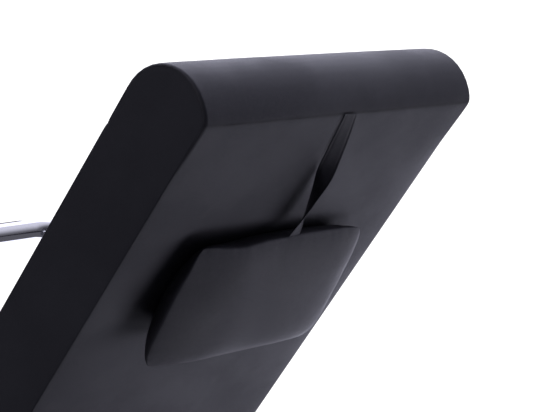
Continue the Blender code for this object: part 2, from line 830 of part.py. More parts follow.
def make_control():
    """A box that the right rib closes, the circuit board in it, and the sockets under it."""
    half_y = box_half_length()
    half_z = BOX_HEIGHT / 2
    spot = box_place() @ Matrix.Translation((0, 0, half_z)) @ Matrix.Rotation(math.pi / 2, 4, "Y")
    low, high = -BOX_WIDTH / 2, BOX_WIDTH / 2
    inner_z, inner_y, floor = half_z - BOX_WALL, half_y - BOX_WALL, low + BOX_WALL
    tray = [(half_z, half_y, low), (half_z, half_y, high), (inner_z, inner_y, high), (inner_z, inner_y, floor)]
    add("control_box", moved(stacked(tray), spot), "black_plastic")
    board_z, board_y = inner_z - GAP, inner_y - GAP
    board = [(board_z, board_y, floor + GAP), (board_z, board_y, floor + GAP + BOARD)]
    add("control_board", moved(stacked(board), spot), "circuit_board")
    for name, (matrix, size, mouth) in socket_spots().items():
        add(name, moved(socket_shape(size, mouth), matrix), "black_plastic")


def bar(path):
    """A round wire along any path, its section carried from point to point without twist."""
    rings = []
    side = None
    for k, point in enumerate(path):
        before, after = path[max(k - 1, 0)], path[min(k + 1, len(path) - 1)]
        forward = (after - before).normalized()
        if side is None:
            side = forward.orthogonal().normalized()
        side = (side - forward * side.dot(forward)).normalized()
        up = forward.cross(side)
        turns = [2 * math.pi * j / WIRE_SIDES for j in range(WIRE_SIDES)]
        rings.append([point + (side * math.cos(a) + up * math.sin(a)) * WIRE_RADIUS for a in turns])
    return loft(rings)


def make_wires():
    """One harness: a trunk under the rails, a branch up to each motor and one to the box."""
    low = HALF - RAIL_BOTTOM - GAP - WIRE_RADIUS
    high = HALF - DECK_BOTTOM - HOUSING_DEPTH / 2
    lane = RAIL_HALF - BLOCK_WIDTH - WIRE_CLEARANCE - WIRE_RADIUS
    first, last = min(MOTORS.values()), max(MOTORS.values())
    end_x = HOUSING_RADIUS + GAP
    trunk = [(end_x, first, high), (lane, first, high)]
    trunk += [(lane, s, low) for s in stops(first, last)]
    trunk += [(lane, last, high), (end_x, last, high)]
    branches = [
        [(end_x, s, high), (lane, s, high), (lane, s, low)]
        for s in MOTORS.values() if first < s < last
    ]
    box_station = bay("lumbar_rail", "rear_leg_rail") + box_half_length() / 2
    branches.append([(RIB_INNER - 2 * GAP - BOX_WIDTH, box_station, low), (lane, box_station, low)])
    harness = add("motor_wires", bar([world(*p) for p in trunk]), "wire")
    for k, branch in enumerate(branches):
        boolean(harness, "UNION", cutter(f"wire_branch_{k}", bar([world(*p) for p in branch])))


# Neck pillow and its strap.


def pillow_side(width, height, rise, lowest):
    """A crowned grid of points over the pillow's outline, whose seam rises towards the bottom.

    Heights count from the seam's top edge. lowest is the least height above the couch's face.
    A profile's first number says how flat the middle is, and its second how steep the edge is.
    """
    columns, rows = PILLOW_CELLS
    power, steepness = PILLOW_FRONT_PROFILE if rise > 0 else PILLOW_BACK_PROFILE
    grid = []
    for j in range(rows + 1):
        v = math.sin(math.pi * (j / rows - 0.5))
        line = []
        for i in range(columns + 1):
            u = math.sin(math.pi * (i / columns - 0.5))
            corner = abs(u * v) ** 6
            x = u * (width / 2 - PILLOW_PULL * (1 - v * v)) * (1 - PILLOW_ROUND[0] * corner)
            y = v * (height / 2 - PILLOW_PULL * (1 - u * u)) * (1 - PILLOW_ROUND[1] * corner)
            seam = (PILLOW_SEAM_BOTTOM - PILLOW_SEAM_TOP) * (0.5 - y / PILLOW_HEIGHT)
            crown = max((1 - abs(u) ** power) * (1 - abs(v) ** power), 0.0) ** steepness
            line.append((x, y, max(seam + rise * crown, lowest - PILLOW_SEAM_TOP)))
        grid.append(line)
    return grid


def skinned(first, second):
    """A solid between two grids that have the same cells, closed round their edges."""
    rows, columns = len(first), len(first[0])
    verts = [p for grid in (first, second) for line in grid for p in line]
    half = rows * columns
    faces = []
    for j in range(rows - 1):
        for i in range(columns - 1):
            a = j * columns + i
            b, c, d = a + 1, a + 1 + columns, a + columns
            faces.append((a, b, c, d))
            faces.append((half + a, half + d, half + c, half + b))
    edge = [i for i in range(columns)]
    edge += [j * columns + columns - 1 for j in range(1, rows)]
    edge += [(rows - 1) * columns + i for i in range(columns - 2, -1, -1)]
    edge += [j * columns for j in range(rows - 2, 0, -1)]
    for a, b in zip(edge, edge[1:] + edge[:1]):
        faces.append((b, a, half + a, half + b))
    return verts, faces


def lifted(grid, base):
    return [[(x, y, z + base) for x, y, z in line] for line in grid]


def make_pillow(hinge):
    """Front and back panels sewn round a fibre filling. The back lies flat on the couch's face."""
    skin = PILLOW_SKIN
    inner_width, inner_height = PILLOW_WIDTH - 2 * skin, PILLOW_HEIGHT - 2 * skin
    ease = PILLOW_EASE
    fill_width, fill_height = inner_width - 2 * ease, inner_height - 2 * ease
    crown, belly, low = PILLOW_CROWN, -PILLOW_BELLY, GAP
    front = pillow_side(PILLOW_WIDTH, PILLOW_HEIGHT, crown, low)
    front_inside = pillow_side(inner_width, inner_height, crown - skin, low)
    back = pillow_side(PILLOW_WIDTH, PILLOW_HEIGHT, belly, low)
    back_inside = pillow_side(inner_width, inner_height, belly + skin, low + skin)
    fill_top = pillow_side(fill_width, fill_height, crown - skin - GAP, low)
    fill_base = pillow_side(fill_width, fill_height, belly + skin + GAP, low + skin + GAP)
    half_gap = GAP / 2
    shapes = {
        "pillow_front_panel": (lifted(front, half_gap), lifted(front_inside, half_gap), "leatherette"),
        "pillow_back_panel": (lifted(back, -half_gap), lifted(back_inside, -half_gap), "leatherette"),
        "pillow_filling": (lifted(fill_top, half_gap), lifted(fill_base, -half_gap), "fibre_fill"),
    }
    turn = Matrix.Rotation(PILLOW_TURN, 3, "Z")
    sewn = Vector((-PILLOW_OFFSET, PILLOW_HEIGHT / 2 - PILLOW_PULL, 0.0))
    for name, (upper, lower, finish_name) in shapes.items():
        obj = add(name, skinned(upper, lower), finish_name, hinge)
        obj.rotation_euler.z = PILLOW_TURN
        obj.location = Vector((0, -STRAP_STITCH, 0)) - turn @ sewn


def strap_shape():
    """A flat strap from its seam to the pillow's, rising off the face and turning over once."""
    start, end = GAP + STRAP / 2, PILLOW_SEAM_TOP
    columns, rows = STRAP_CELLS
    sides = ([], [])
    for j in range(rows + 1):
        share = j / rows
        twist = STRAP_TWIST * share ** STRAP_TWIST_DELAY
        lift = (end - start) * math.sin(math.pi / 2 * share)
        centre = Vector((0, -STRAP_DROP * share, lift))
        aim = Matrix.Rotation(PILLOW_TURN * share, 3, "Z")
        wide = aim @ Vector((math.cos(twist), 0, math.sin(twist))) * (STRAP_WIDTH / 2)
        thick = aim @ Vector((-math.sin(twist), 0, math.cos(twist))) * (STRAP / 2)
        across = [centre + wide * (2 * i / columns - 1) for i in range(columns + 1)]
        sides[0].append([p + thick for p in across])
        sides[1].append([p - thick for p in across])
    return skinned(*sides)


def make_neck_rest():
    """The strap turns about the head's seam, and the pillow about the strap's lower end."""
    station = seam_station(True, 0.0, GAP)
    seam = add_empty("strap_hinge", world(0, station, HALF + GAP + STRAP / 2), (BACK_ANGLE, 0, 0))
    add("pillow_strap", strap_shape(), "leatherette", seam)
    drop = Vector((0, -STRAP_DROP, PILLOW_SEAM_TOP - GAP - STRAP / 2))
    pillow = add_empty("pillow_hinge", drop, (0, 0, 0), seam)
    make_pillow(pillow)


for thing in list(bpy.data.objects):
    bpy.data.objects.remove(thing)

RAILS = rail_spans()
LEG_RAILS = ("front_leg_rail", "rear_leg_rail")
MOTORS = {
    "calf": bay("foot_rail", "front_leg_rail"),
    "thigh": bay("knee_rail", "seat_rail"),
    "lumbar": bay("lumbar_rail", "rear_leg_rail"),
    "shoulder": bay("shoulder_rail", "head_rail"),
}
SOCKET_HOLES = cutter("socket_holes", gathered([
    moved(socket_shape(size, mouth, GAP), matrix) for matrix, size, mouth in socket_spots().values()
]))
BOLT_HOLES = cutter("bolt_holes", bolt_hole_shapes())
make_covers(SOCKET_HOLES, BOLT_HOLES)
make_padding(SOCKET_HOLES, BOLT_HOLES)
make_frame(BOLT_HOLES)
make_leg_bolts()
make_legs(BOLT_HOLES)
make_motors()
make_control()
make_wires()
make_neck_rest()
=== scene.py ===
"""Looks of the massage couch: its upholstery, neck pillow, chrome legs and inner pieces.

Every piece is made in metres, in the frame's own place. X runs across the couch, the head is at
+Y, and left means -X. A station is a distance along the slab's centre line from the foot, and an
inset is a depth below the slab's outer skin.
"""

import json
import math
from collections import namedtuple

import bmesh
import bpy
import numpy as np
from mathutils import Matrix, Vector, noise


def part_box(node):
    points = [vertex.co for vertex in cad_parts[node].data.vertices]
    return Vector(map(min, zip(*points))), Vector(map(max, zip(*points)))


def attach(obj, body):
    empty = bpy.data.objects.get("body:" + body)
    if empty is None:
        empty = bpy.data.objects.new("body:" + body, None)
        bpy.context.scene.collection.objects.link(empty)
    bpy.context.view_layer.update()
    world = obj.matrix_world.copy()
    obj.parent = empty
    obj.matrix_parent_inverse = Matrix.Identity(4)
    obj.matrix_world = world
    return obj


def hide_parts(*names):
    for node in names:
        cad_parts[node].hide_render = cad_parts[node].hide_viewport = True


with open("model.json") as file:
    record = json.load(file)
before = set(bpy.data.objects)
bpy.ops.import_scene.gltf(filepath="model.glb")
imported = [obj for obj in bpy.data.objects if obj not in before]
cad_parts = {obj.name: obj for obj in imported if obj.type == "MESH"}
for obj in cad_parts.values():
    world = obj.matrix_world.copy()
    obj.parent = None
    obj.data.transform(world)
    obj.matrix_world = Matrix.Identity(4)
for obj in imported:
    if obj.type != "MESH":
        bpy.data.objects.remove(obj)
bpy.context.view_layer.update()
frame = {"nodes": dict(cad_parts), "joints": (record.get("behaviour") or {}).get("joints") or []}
NODES = frame["nodes"]
JOINTS = {joint["name"]: joint for joint in frame["joints"]}

# The padded slab, as the frame has it.
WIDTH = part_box("face_cover")[1].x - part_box("face_cover")[0].x
SLAB = 0.13
CALF_LENGTH = 0.50
THIGH_LENGTH = 0.46
BACK_LENGTH = 0.84
CALF_ANGLE = math.radians(28)
THIGH_ANGLE = math.radians(-15)
BACK_ANGLE = math.radians(42)
KNEE_RADIUS = 0.17
VALLEY_RADIUS = 0.20
END_RADIUS = 0.0725
WRAP_REACH = 0.06
END_PAD = 0.085
GAP = 0.0003
COVER = 0.002
FOAM = 0.045
UNDER_PAD = 0.010
LEG_TUBE_RADIUS = 0.016
LEG_SPREAD = 0.38
LEG_BEND = 0.060
FRONT_LEG_FROM_KNEE = 0.15
REAR_LEG_FROM_SEAT = 0.20
LEG_SPLAYS = {"front": -0.02, "rear": 0.11}
PLATE_WIDTH = 0.090
PLATE_LENGTH = 0.064
PLATE = 0.005
BOLT_PITCH = 0.060
BOLT_RADIUS = 0.004
BOLT_HEAD_RADIUS = 0.007
BOLT_HEAD_HEIGHT = 0.0045
BOLT_LENGTH = 0.060
PAD_SOLE = 0.008

# Neck pillow and strap, as the frame has them.
PILLOW_WIDTH = 0.356
PILLOW_HEIGHT = 0.194
PILLOW_CROWN = 0.0246
PILLOW_BELLY = 0.060
PILLOW_SEAM_TOP = 0.023
PILLOW_SEAM_BOTTOM = 0.047
PILLOW_PULL = 0.001
PILLOW_ROUND = (0.084, 0.050)
PILLOW_FRONT_PROFILE = (2.4, 0.75)
PILLOW_OFFSET = -0.005
PILLOW_TURN = math.radians(-1.1)
STRAP_WIDTH = 0.024
STRAP = 0.0016
STRAP_DROP = 0.194
STRAP_STITCH = 0.0008

# Axes of the frame, and halves of the slab.
ACROSS = Vector((1, 0, 0))
AHEAD = Vector((0, 1, 0))
UP = Vector((0, 0, 1))
HALF = SLAB / 2
HALF_WIDTH = WIDTH / 2
ARC_HEIGHT = END_RADIUS - HALF

# How the padding swells between its seams.
EDGE_RADIUS = 0.0045
EDGE_EASE = 0.0042
EDGE_REACH = 0.024
END_EASE = 0.2
EASE_POWER = 1.5
SEAM_DIP = 0.0013
SEAM_REACH = 0.0035
# SEAM_SHADE_REACH and LONG_SHADE: the reach of the painted shade in the cross seams, and its share in the
# long seams.
SEAM_SHADE_REACH = 0.0012
LONG_DIP = 0.0003
LONG_SHADE = 0.3
SIDE_BULGE = 0.0012
SIDE_REACH = 0.030
PUCKER = 0.0005
PUCKER_REACH = 0.025
PUCKER_PITCH = 0.018
PUCKER_LENGTH = 0.06
RIPPLE = 0.0005
RIPPLE_SIZE = 0.11
RIPPLE_FADE = 0.05
SIDE_RIPPLE_SHARE = 0.6
SIDE_RIPPLE_FADE = 0.03
CORNER_REACH = 0.08

# Shifts through the noise, so that no two panels gather alike.
PUCKER_SEED = 3.7
RIPPLE_SEED = 0.4
WRAP_PUCKER_SHIFT = 0.31
WRAP_RIPPLE_SHIFT = 5.0
UNDERSIDE_PUCKER_SHIFT = 0.77
SIDE_PUCKER_STRETCH = 1.3
SIDE_RIPPLE_SHIFT = 2.0

# Steps of the meshes.
ROW_STEP = 0.012
EDGE_STEPS = 8
END_STEPS = 24
FACE_COLUMNS = 48
SIDE_COLUMNS = 22
SEAM_STEPS = (0.0, 0.0006, 0.0013, 0.0022, 0.0034, 0.005, 0.0072, 0.010, 0.014, 0.019)
MERGE_DISTANCE = 0.00001

# Angles in degrees above which an edge stays sharp.
SKIN_SHARP = 70
BLOCK_SHARP = 50
STRAP_SHARP = 60
METAL_SHARP = 40
BOLT_SHARP = 30

Run = namedtuple("Run", "start length point angle turn")


def heading(angle):
    return Vector((math.cos(angle), math.sin(angle)))


def square_to(angle):
    return Vector((-math.sin(angle), math.cos(angle)))


def along(run, distance):
    """Point in (y, z) and angle on a run of the centre line, at a distance from its start."""
    if not run.turn:
        return run.point + heading(run.angle) * distance, run.angle
    angle = run.angle + run.turn * distance / run.length
    radius = run.length / run.turn
    return run.point + (square_to(run.angle) - square_to(angle)) * radius, angle


def lay_track(start):
    """The centre line's straight runs and bends, foot to head."""
    knee_turn, valley_turn = THIGH_ANGLE - CALF_ANGLE, BACK_ANGLE - THIGH_ANGLE
    knee_cut = KNEE_RADIUS * math.tan(abs(knee_turn) / 2)
    valley_cut = VALLEY_RADIUS * math.tan(abs(valley_turn) / 2)
    plan = [
        (CALF_LENGTH - knee_cut, 0.0),
        (KNEE_RADIUS * abs(knee_turn), knee_turn),
        (THIGH_LENGTH - knee_cut - valley_cut, 0.0),
        (VALLEY_RADIUS * abs(valley_turn), valley_turn),
        (BACK_LENGTH - valley_cut, 0.0),
    ]
    runs = []
    station, point, angle = 0.0, Vector(start), CALF_ANGLE
    for length, turn in plan:
        runs.append(Run(station, length, point, angle, turn))
        point, angle = along(runs[-1], length)
        station += length
    return runs


def centre_line(station):
    run = next((r for r in reversed(RUNS) if station >= r.start), RUNS[0])
    return along(run, station - run.start)


def place(station, height):
    """The (y, z) of a point at a station on the centre line and a height above it."""
    point, angle = centre_line(station)
    return point + square_to(angle) * height


def frame_at(x, station, height):
    """Matrix of the slab's own axes: X across, Y towards the head, Z out of the lying face."""
    y, z = place(station, height)
    return Matrix.Translation((x, y, z)) @ Matrix.Rotation(centre_line(station)[1], 4, "X")


def crease(inset):
    """Angle round an end at which a skin set in by inset meets the lying face."""
    return math.asin((HALF - inset - ARC_HEIGHT) / (END_RADIUS - inset))


def seam_reach(inset):
    """Distance from an end to the cross seam, for a skin set in by inset."""
    return END_RADIUS - (END_RADIUS - inset) * math.cos(crease(inset))


SEAM_IN = seam_reach(0.0)
RUNS = lay_track((0.0, 0.0))
LENGTH = RUNS[-1].start + RUNS[-1].length
HINGE = Vector(JOINTS["strap_swing"]["pos_m"])
RUNS = lay_track(Vector(HINGE.yz) - place(LENGTH - SEAM_IN - GAP, HALF + GAP + STRAP / 2))
THIGH_RUN, BACK_RUN = RUNS[2], RUNS[4]
LEG_STATIONS = {
    "front": CALF_LENGTH - FRONT_LEG_FROM_KNEE,
    "rear": BACK_RUN.start + REAR_LEG_FROM_SEAT,
}


# Materials.

COLOUR_SOCKETS = (6, 7)
LEATHERETTE_SHEEN = (0.88, 0.87, 1.0, 1.0)
LEATHERETTE_DUST = (0.20, 0.20, 0.21)
LEATHERETTE_CREASE = (0.010, 0.010, 0.012)
# Painted shade: the colour laid in the creases of the seams.
LEATHERETTE_SEAM_SHADE = (0.006, 0.006, 0.007)
METAL_DUST = (0.5, 0.49, 0.47)
MOULDED_DUST = (0.30, 0.29, 0.28)
LACQUER = (0.012, 0.075, 0.03)
LACQUERED_TRACK = (0.03, 0.14, 0.05)
RUBBED_LACQUER = (0.02, 0.05, 0.03)


def shader_group(name, inputs, outputs):
    """An empty node group with named sockets, and its input and output nodes."""
    group = bpy.data.node_groups.new(name, "ShaderNodeTree")
    for label, kind, value in inputs:
        socket = group.interface.new_socket(name=label, in_out="INPUT", socket_type=f"NodeSocket{kind}")
        socket.default_value = value
    for label, kind in outputs:
        group.interface.new_socket(name=label, in_out="OUTPUT", socket_type=f"NodeSocket{kind}")
    return group, group.nodes.new("NodeGroupInput"), group.nodes.new("NodeGroupOutput")


def set_socket(tree, socket, value):
    """Links an input to an output, or sets it to a plain value."""
    if isinstance(value, bpy.types.NodeSocket):
        tree.links.new(value, socket)
    else:
        socket.default_value = value


def node(tree, kind, settings=None, **values):
    """A node with its settings, and with values or links on its inputs.

    An input goes by its name, with spaces as _, or by i and its number.
    """
    made = tree.nodes.new(f"ShaderNode{kind}")
    for key, value in (settings or {}).items():
        setattr(made, key, value)
    for key, value in values.items():
        by_number = key[0] == "i" and key[1:].isdigit()
        set_socket(tree, made.inputs[int(key[1:]) if by_number else key.replace("_", " ")], value)
    return made


def calculate(tree, operation, first, second=0.0, third=0.0):
    return node(tree, "Math", {"operation": operation}, i0=first, i1=second, i2=third).outputs[0]


def mapped(tree, value, low, high, new_low=0.0, new_high=1.0):
    """A value moved from one range to another, and held within it."""
    settings = {"interpolation_type": "SMOOTHSTEP"}
    return node(tree, "MapRange", settings, Value=value, From_Min=low, From_Max=high,
                To_Min=new_low, To_Max=new_high).outputs[0]


def tint(tree, share, first, second):
    """A colour between two colours, each a value or a link."""
    mix = node(tree, "Mix", {"data_type": "RGBA"}, i0=share)
    for number, colour in zip(COLOUR_SOCKETS, (first, second)):
        set_socket(tree, mix.inputs[number], (*colour, 1.0) if isinstance(colour, tuple) else colour)
    return mix.outputs[2]


def stained(tree, colour, mask, strength, stain):
    """A colour with a stain over it, where a mask lies and as strong as given."""
    return tint(tree, calculate(tree, "MULTIPLY", mask, strength), colour, stain)


def darker(colour, share):
    return tuple(c * share for c in colour)


def place_in(tree):
    return node(tree, "TexCoord").outputs["Object"]


def scale_for(tree, size):
    """A texture's scale for features of a size."""
    return calculate(tree, "DIVIDE", 1.0, size)


def grain_group():
    """Pebbled leatherette: small cells with creases between them, and fine pores."""
    group, given, result = shader_group(
        "leather_grain",
        [("Cell Size", "Float", 0.0012), ("Crease", "Float", 0.14)],
        [("Height", "Float"), ("Creases", "Float")])
    scale = scale_for(group, given.outputs["Cell Size"])
    where = place_in(group)
    drift = node(group, "TexNoise", Vector=where, Scale=180.0, Detail=2.0)
    bent = node(group, "VectorMath", {"operation": "MULTIPLY_ADD"}, i0=drift.outputs["Color"],
                i1=(0.0012, 0.0012, 0.0012), i2=where).outputs[0]
    cells = node(group, "TexVoronoi", {"feature": "DISTANCE_TO_EDGE"}, Vector=bent, Scale=scale)
    smooth = mapped(group, cells.outputs["Distance"], 0.0, given.outputs["Crease"])
    pores = node(group, "TexNoise", Vector=where, Scale=3200.0, Detail=2.0)
    height = calculate(group, "MULTIPLY_ADD", pores.outputs["Fac"], 0.25, smooth)
    group.links.new(height, result.inputs["Height"])
    group.links.new(calculate(group, "SUBTRACT", 1.0, smooth), result.inputs["Creases"])
    return group


def wear_group():
    """Patches where hands and cloth have polished or dulled a finish, and dust on what faces up."""
    group, given, result = shader_group(
        "handling_wear",
        [("Patch Size", "Float", 0.16), ("Speck Size", "Float", 0.004)],
        [("Polish", "Float"), ("Dust", "Float")])
    where = place_in(group)
    patch_scale = scale_for(group, given.outputs["Patch Size"])
    speck_scale = scale_for(group, given.outputs["Speck Size"])
    patches = node(group, "TexNoise", Vector=where, Scale=patch_scale, Detail=4.0, Roughness=0.55)
    specks = node(group, "TexNoise", Vector=where, Scale=speck_scale, Detail=3.0)
    up = node(group, "SeparateXYZ", Vector=node(group, "NewGeometry").outputs["Normal"]).outputs["Z"]
    facing = mapped(group, up, 0.1, 0.95)
    dust = calculate(group, "MULTIPLY", mapped(group, specks.outputs["Fac"], 0.5, 0.72), facing)
    group.links.new(mapped(group, patches.outputs["Fac"], 0.35, 0.68), result.inputs["Polish"])
    group.links.new(dust, result.inputs["Dust"])
    return group


def timber_group():
    """Long grain with rings and pores, running along one axis."""
    group, given, result = shader_group(
        "timber_grain",
        [("Ring Size", "Float", 0.012), ("Stretch", "Vector", (0.06, 1.0, 1.0))],
        [("Rings", "Float"), ("Pores", "Float")])
    drawn = node(group, "VectorMath", {"operation": "MULTIPLY"}, i0=place_in(group),
                 i1=given.outputs["Stretch"]).outputs[0]
    scale = scale_for(group, given.outputs["Ring Size"])
    bend = node(group, "TexNoise", Vector=drawn, Scale=9.0, Detail=3.0)
    shifted = node(group, "VectorMath", {"operation": "MULTIPLY_ADD"}, i0=bend.outputs["Color"],
                   i1=(0.03, 0.03, 0.03), i2=drawn).outputs[0]
    rings = node(group, "TexWave", {"bands_direction": "DIAGONAL"}, Vector=shifted, Scale=scale,
                 Distortion=1.5, Detail=2.0)
    pores = node(group, "TexNoise", Vector=drawn, Scale=1400.0, Detail=2.0)
    group.links.new(rings.outputs["Fac"], result.inputs["Rings"])
    group.links.new(mapped(group, pores.outputs["Fac"], 0.45, 0.6), result.inputs["Pores"])
    return group


def scratch_group():
    """Fine hairlines and smears on metal and lacquer."""
    group, given, result = shader_group(
        "hairlines",
        [("Line Size", "Float", 0.0008), ("Stretch", "Vector", (1.0, 0.05, 1.0))],
        [("Lines", "Float"), ("Smears", "Float")])
    where = place_in(group)
    drawn = node(group, "VectorMath", {"operation": "MULTIPLY"}, i0=where,
                 i1=given.outputs["Stretch"]).outputs[0]
    scale = scale_for(group, given.outputs["Line Size"])
    lines = node(group, "TexNoise", Vector=drawn, Scale=scale, Detail=2.0)
    smears = node(group, "TexNoise", Vector=where, Scale=14.0, Detail=5.0)
    group.links.new(mapped(group, lines.outputs["Fac"], 0.42, 0.62), result.inputs["Lines"])
    group.links.new(mapped(group, smears.outputs["Fac"], 0.4, 0.7), result.inputs["Smears"])
    return group


GRAIN = grain_group()
WEAR = wear_group()
TIMBER = timber_group()
HAIRLINES = scratch_group()


def placed_group(tree, group, **values):
    made = tree.nodes.new("ShaderNodeGroup")
    made.node_tree = group
    for key, value in values.items():
        made.inputs[key.replace("_", " ")].default_value = value
    return made.outputs


def new_material(name, **constants):
    """A material with a Principled shader whose plain sockets are set, spaces as _."""
    material = bpy.data.materials.new(name)
    material.use_nodes = True
    shader = material.node_tree.nodes["Principled BSDF"]
    for key, value in constants.items():
        shader.inputs[key.replace("_", " ")].default_value = value
    return material, material.node_tree, shader


def dress(tree, shader, colour, height, distance, roughness=None):
    """Gives a shader its colour, its bumps and, where it changes, its roughness."""
    tree.links.new(colour, shader.inputs["Base Color"])
    if roughness is not None:
        tree.links.new(roughness, shader.inputs["Roughness"])
    bumps = node(tree, "Bump", Height=height, Distance=distance, Strength=1.0)
    tree.links.new(bumps.outputs["Normal"], shader.inputs["Normal"])


def leatherette(name, dark, light):
    """Black faux leather: satin, pebbled, a little polished in patches, with painted shade in its seams."""
    material, tree, shader = new_material(name, Specular_IOR_Level=0.5, Specular_Tint=LEATHERETTE_SHEEN)
    pebbles = placed_group(tree, GRAIN)
    wear = placed_group(tree, WEAR)
    seam = node(tree, "Attribute", {"attribute_name": "seam"}).outputs["Fac"]
    colour = tint(tree, wear["Polish"], dark, light)
    colour = stained(tree, colour, wear["Dust"], 0.05, LEATHERETTE_DUST)
    colour = stained(tree, colour, pebbles["Creases"], 0.35, LEATHERETTE_CREASE)
    # Painted shade: the seam mark darkens the leatherette in the creases beside its seams.
    colour = stained(tree, colour, seam, 0.7, LEATHERETTE_SEAM_SHADE)
    satin = mapped(tree, wear["Polish"], 0.0, 1.0, 0.46, 0.37)
    roughness = calculate(tree, "MULTIPLY_ADD", pebbles["Creases"], 0.12, satin)
    dress(tree, shader, colour, pebbles["Height"], 0.00006, roughness)
    return material


def foam_stuff(name, pale, deep):
    """Cut foam: open cells, yellowed in patches."""
    material, tree, shader = new_material(name, Roughness=0.95, Specular_IOR_Level=0.2)
    cells = placed_group(tree, GRAIN, Cell_Size=0.0022, Crease=0.35)
    wear = placed_group(tree, WEAR, Patch_Size=0.09)
    colour = tint(tree, wear["Polish"], pale, deep)
    colour = stained(tree, colour, cells["Creases"], 0.5, darker(deep, 0.6))
    dress(tree, shader, colour, cells["Height"], 0.0006)
    return material


def timber(name, pale, deep, ring_size, stretch):
    """Raw wood with its rings, pores and handling marks."""
    material, tree, shader = new_material(name, Specular_IOR_Level=0.35)
    grain = placed_group(tree, TIMBER, Ring_Size=ring_size, Stretch=stretch)
    wear = placed_group(tree, WEAR)
    colour = tint(tree, grain["Rings"], pale, deep)
    colour = stained(tree, colour, grain["Pores"], 0.3, darker(deep, 0.55))
    colour = stained(tree, colour, wear["Polish"], 0.18, darker(pale, 0.7))
    roughness = mapped(tree, grain["Rings"], 0.0, 1.0, 0.72, 0.6)
    dress(tree, shader, colour, grain["Pores"], 0.0002, roughness)
    return material


def plated_metal(name, bright, dull, rough, smear, scratch):
    """Plated steel with hairlines, smears and a little dust."""
    material, tree, shader = new_material(name, Metallic=1.0)
    lines = placed_group(tree, HAIRLINES)
    wear = placed_group(tree, WEAR, Patch_Size=0.07)
    colour = stained(tree, bright, lines["Smears"], smear, dull)
    colour = stained(tree, colour, wear["Dust"], 0.10, METAL_DUST)
    roughness = calculate(tree, "MULTIPLY_ADD", lines["Smears"], smear * 0.3, rough)
    dress(tree, shader, colour, lines["Lines"], scratch, roughness)
    return material


def moulded(name, dark, light, rough, grain=0.00004, cell=0.0009):
    """Moulded plastic or rubber with a spark-eroded texture and rubbed patches."""
    material, tree, shader = new_material(name, Specular_IOR_Level=0.45)
    texture = placed_group(tree, GRAIN, Cell_Size=cell, Crease=0.5)
    wear = placed_group(tree, WEAR, Patch_Size=0.03)
    colour = tint(tree, wear["Polish"], dark, light)
    colour = stained(tree, colour, wear["Dust"], 0.12, MOULDED_DUST)
    roughness = mapped(tree, wear["Polish"], 0.0, 1.0, rough + 0.06, rough - 0.08)
    dress(tree, shader, colour, texture["Height"], grain, roughness)
    return material


def circuit_lacquer(name):
    """Green lacquer over copper tracks."""
    material, tree, shader = new_material(name, Coat_Weight=0.4)
    tracks = node(tree, "TexBrick", Vector=place_in(tree), Scale=260.0, Mortar_Size=0.03, Color1=(1, 1, 1, 1),
                  Color2=(0.8, 0.8, 0.8, 1), Mortar=(0, 0, 0, 1)).outputs["Fac"]
    wear = placed_group(tree, WEAR, Patch_Size=0.02)
    colour = tint(tree, tracks, LACQUER, LACQUERED_TRACK)
    colour = stained(tree, colour, wear["Polish"], 0.2, RUBBED_LACQUER)
    roughness = mapped(tree, wear["Polish"], 0.0, 1.0, 0.4, 0.3)
    dress(tree, shader, colour, tracks, 0.00004, roughness)
    return material


LEATHERETTE = leatherette("black_leatherette", (0.0275, 0.0268, 0.0340), (0.0340, 0.0332, 0.0415))
# Painted light: the pillow's leatherette is the couch's, made lighter in colour to stand in for the light it
# gets.
LIT_PILLOW_LEATHERETTE = leatherette("pillow_leatherette_painted_lighter", (0.0335, 0.0327, 0.0410), (0.0410, 0.0401, 0.0495))
FOAM_STUFF = foam_stuff("upholstery_foam", (0.80, 0.72, 0.50), (0.70, 0.58, 0.34))
PLYWOOD = timber("birch_plywood", (0.68, 0.50, 0.31), (0.55, 0.37, 0.20), 0.010, (1.0, 0.07, 1.0))
PINE = timber("planed_pine", (0.78, 0.62, 0.39), (0.66, 0.45, 0.23), 0.016, (0.06, 1.0, 1.0))
CHROME = plated_metal("polished_chrome", (0.86, 0.86, 0.88), (0.70, 0.71, 0.74), 0.05, 0.12, 0.0000005)
ZINC = plated_metal("zinc_plate", (0.66, 0.66, 0.68), (0.50, 0.51, 0.54), 0.28, 0.5, 0.000004)
BLACK_PLASTIC = moulded("black_plastic", (0.022, 0.022, 0.024), (0.034, 0.034, 0.036), 0.5)
RUBBER = moulded("pad_rubber", (0.018, 0.018, 0.019), (0.030, 0.029, 0.029), 0.68, 0.00008, 0.0014)
CIRCUIT = circuit_lacquer("circuit_lacquer")
THREAD = moulded("sewing_thread", (0.016, 0.016, 0.018), (0.032, 0.031, 0.035), 0.6, 0.00004, 0.0003)
WIRE = moulded("wire_jacket", (0.03, 0.03, 0.032), (0.05, 0.05, 0.054), 0.45, 0.00002, 0.0006)


# Pieces.


def new_object(name, data):
    made = bpy.data.objects.new(name, data)
    bpy.context.scene.collection.objects.link(made)
    return made


def piece(name, verts, faces, material, body="couch", replaced=()):
    """A named mesh that rides on a body and stands for CAD nodes."""
    mesh = bpy.data.meshes.new(name)
    mesh.from_pydata([tuple(v) for v in verts], [], faces)
    mesh.materials.append(material)
    mesh.shade_smooth()
    made = new_object(name, mesh)
    if replaced:
        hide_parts(*replaced)
    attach(made, body)
    return made


def grid_faces(rows, columns, flip):
    faces = []
    for j in range(rows - 1):
        for i in range(columns - 1):
            a = j * columns + i
            face = (a, a + 1, a + 1 + columns, a + columns)
            faces.append(face[::-1] if flip else face)
    return faces


def ring_faces(count, sides, base=0, closed=False):
    """Faces between rings that follow each other, numbered ring by ring from base."""
    faces = []
    for k in range(count if closed else count - 1):
        low, high = base + k * sides, base + (k + 1) % count * sides
        for j in range(sides):
            after = (j + 1) % sides
            faces.append((low + j, low + after, high + after, high + j))
    return faces


def bridge(made, rings):
    """Joins rings of equal length in a mesh that is being made."""
    for low, high in zip(rings, rings[1:]):
        for j in range(len(low)):
            after = (j + 1) % len(low)
            made.faces.new((low[j], low[after], high[after], high[j]))


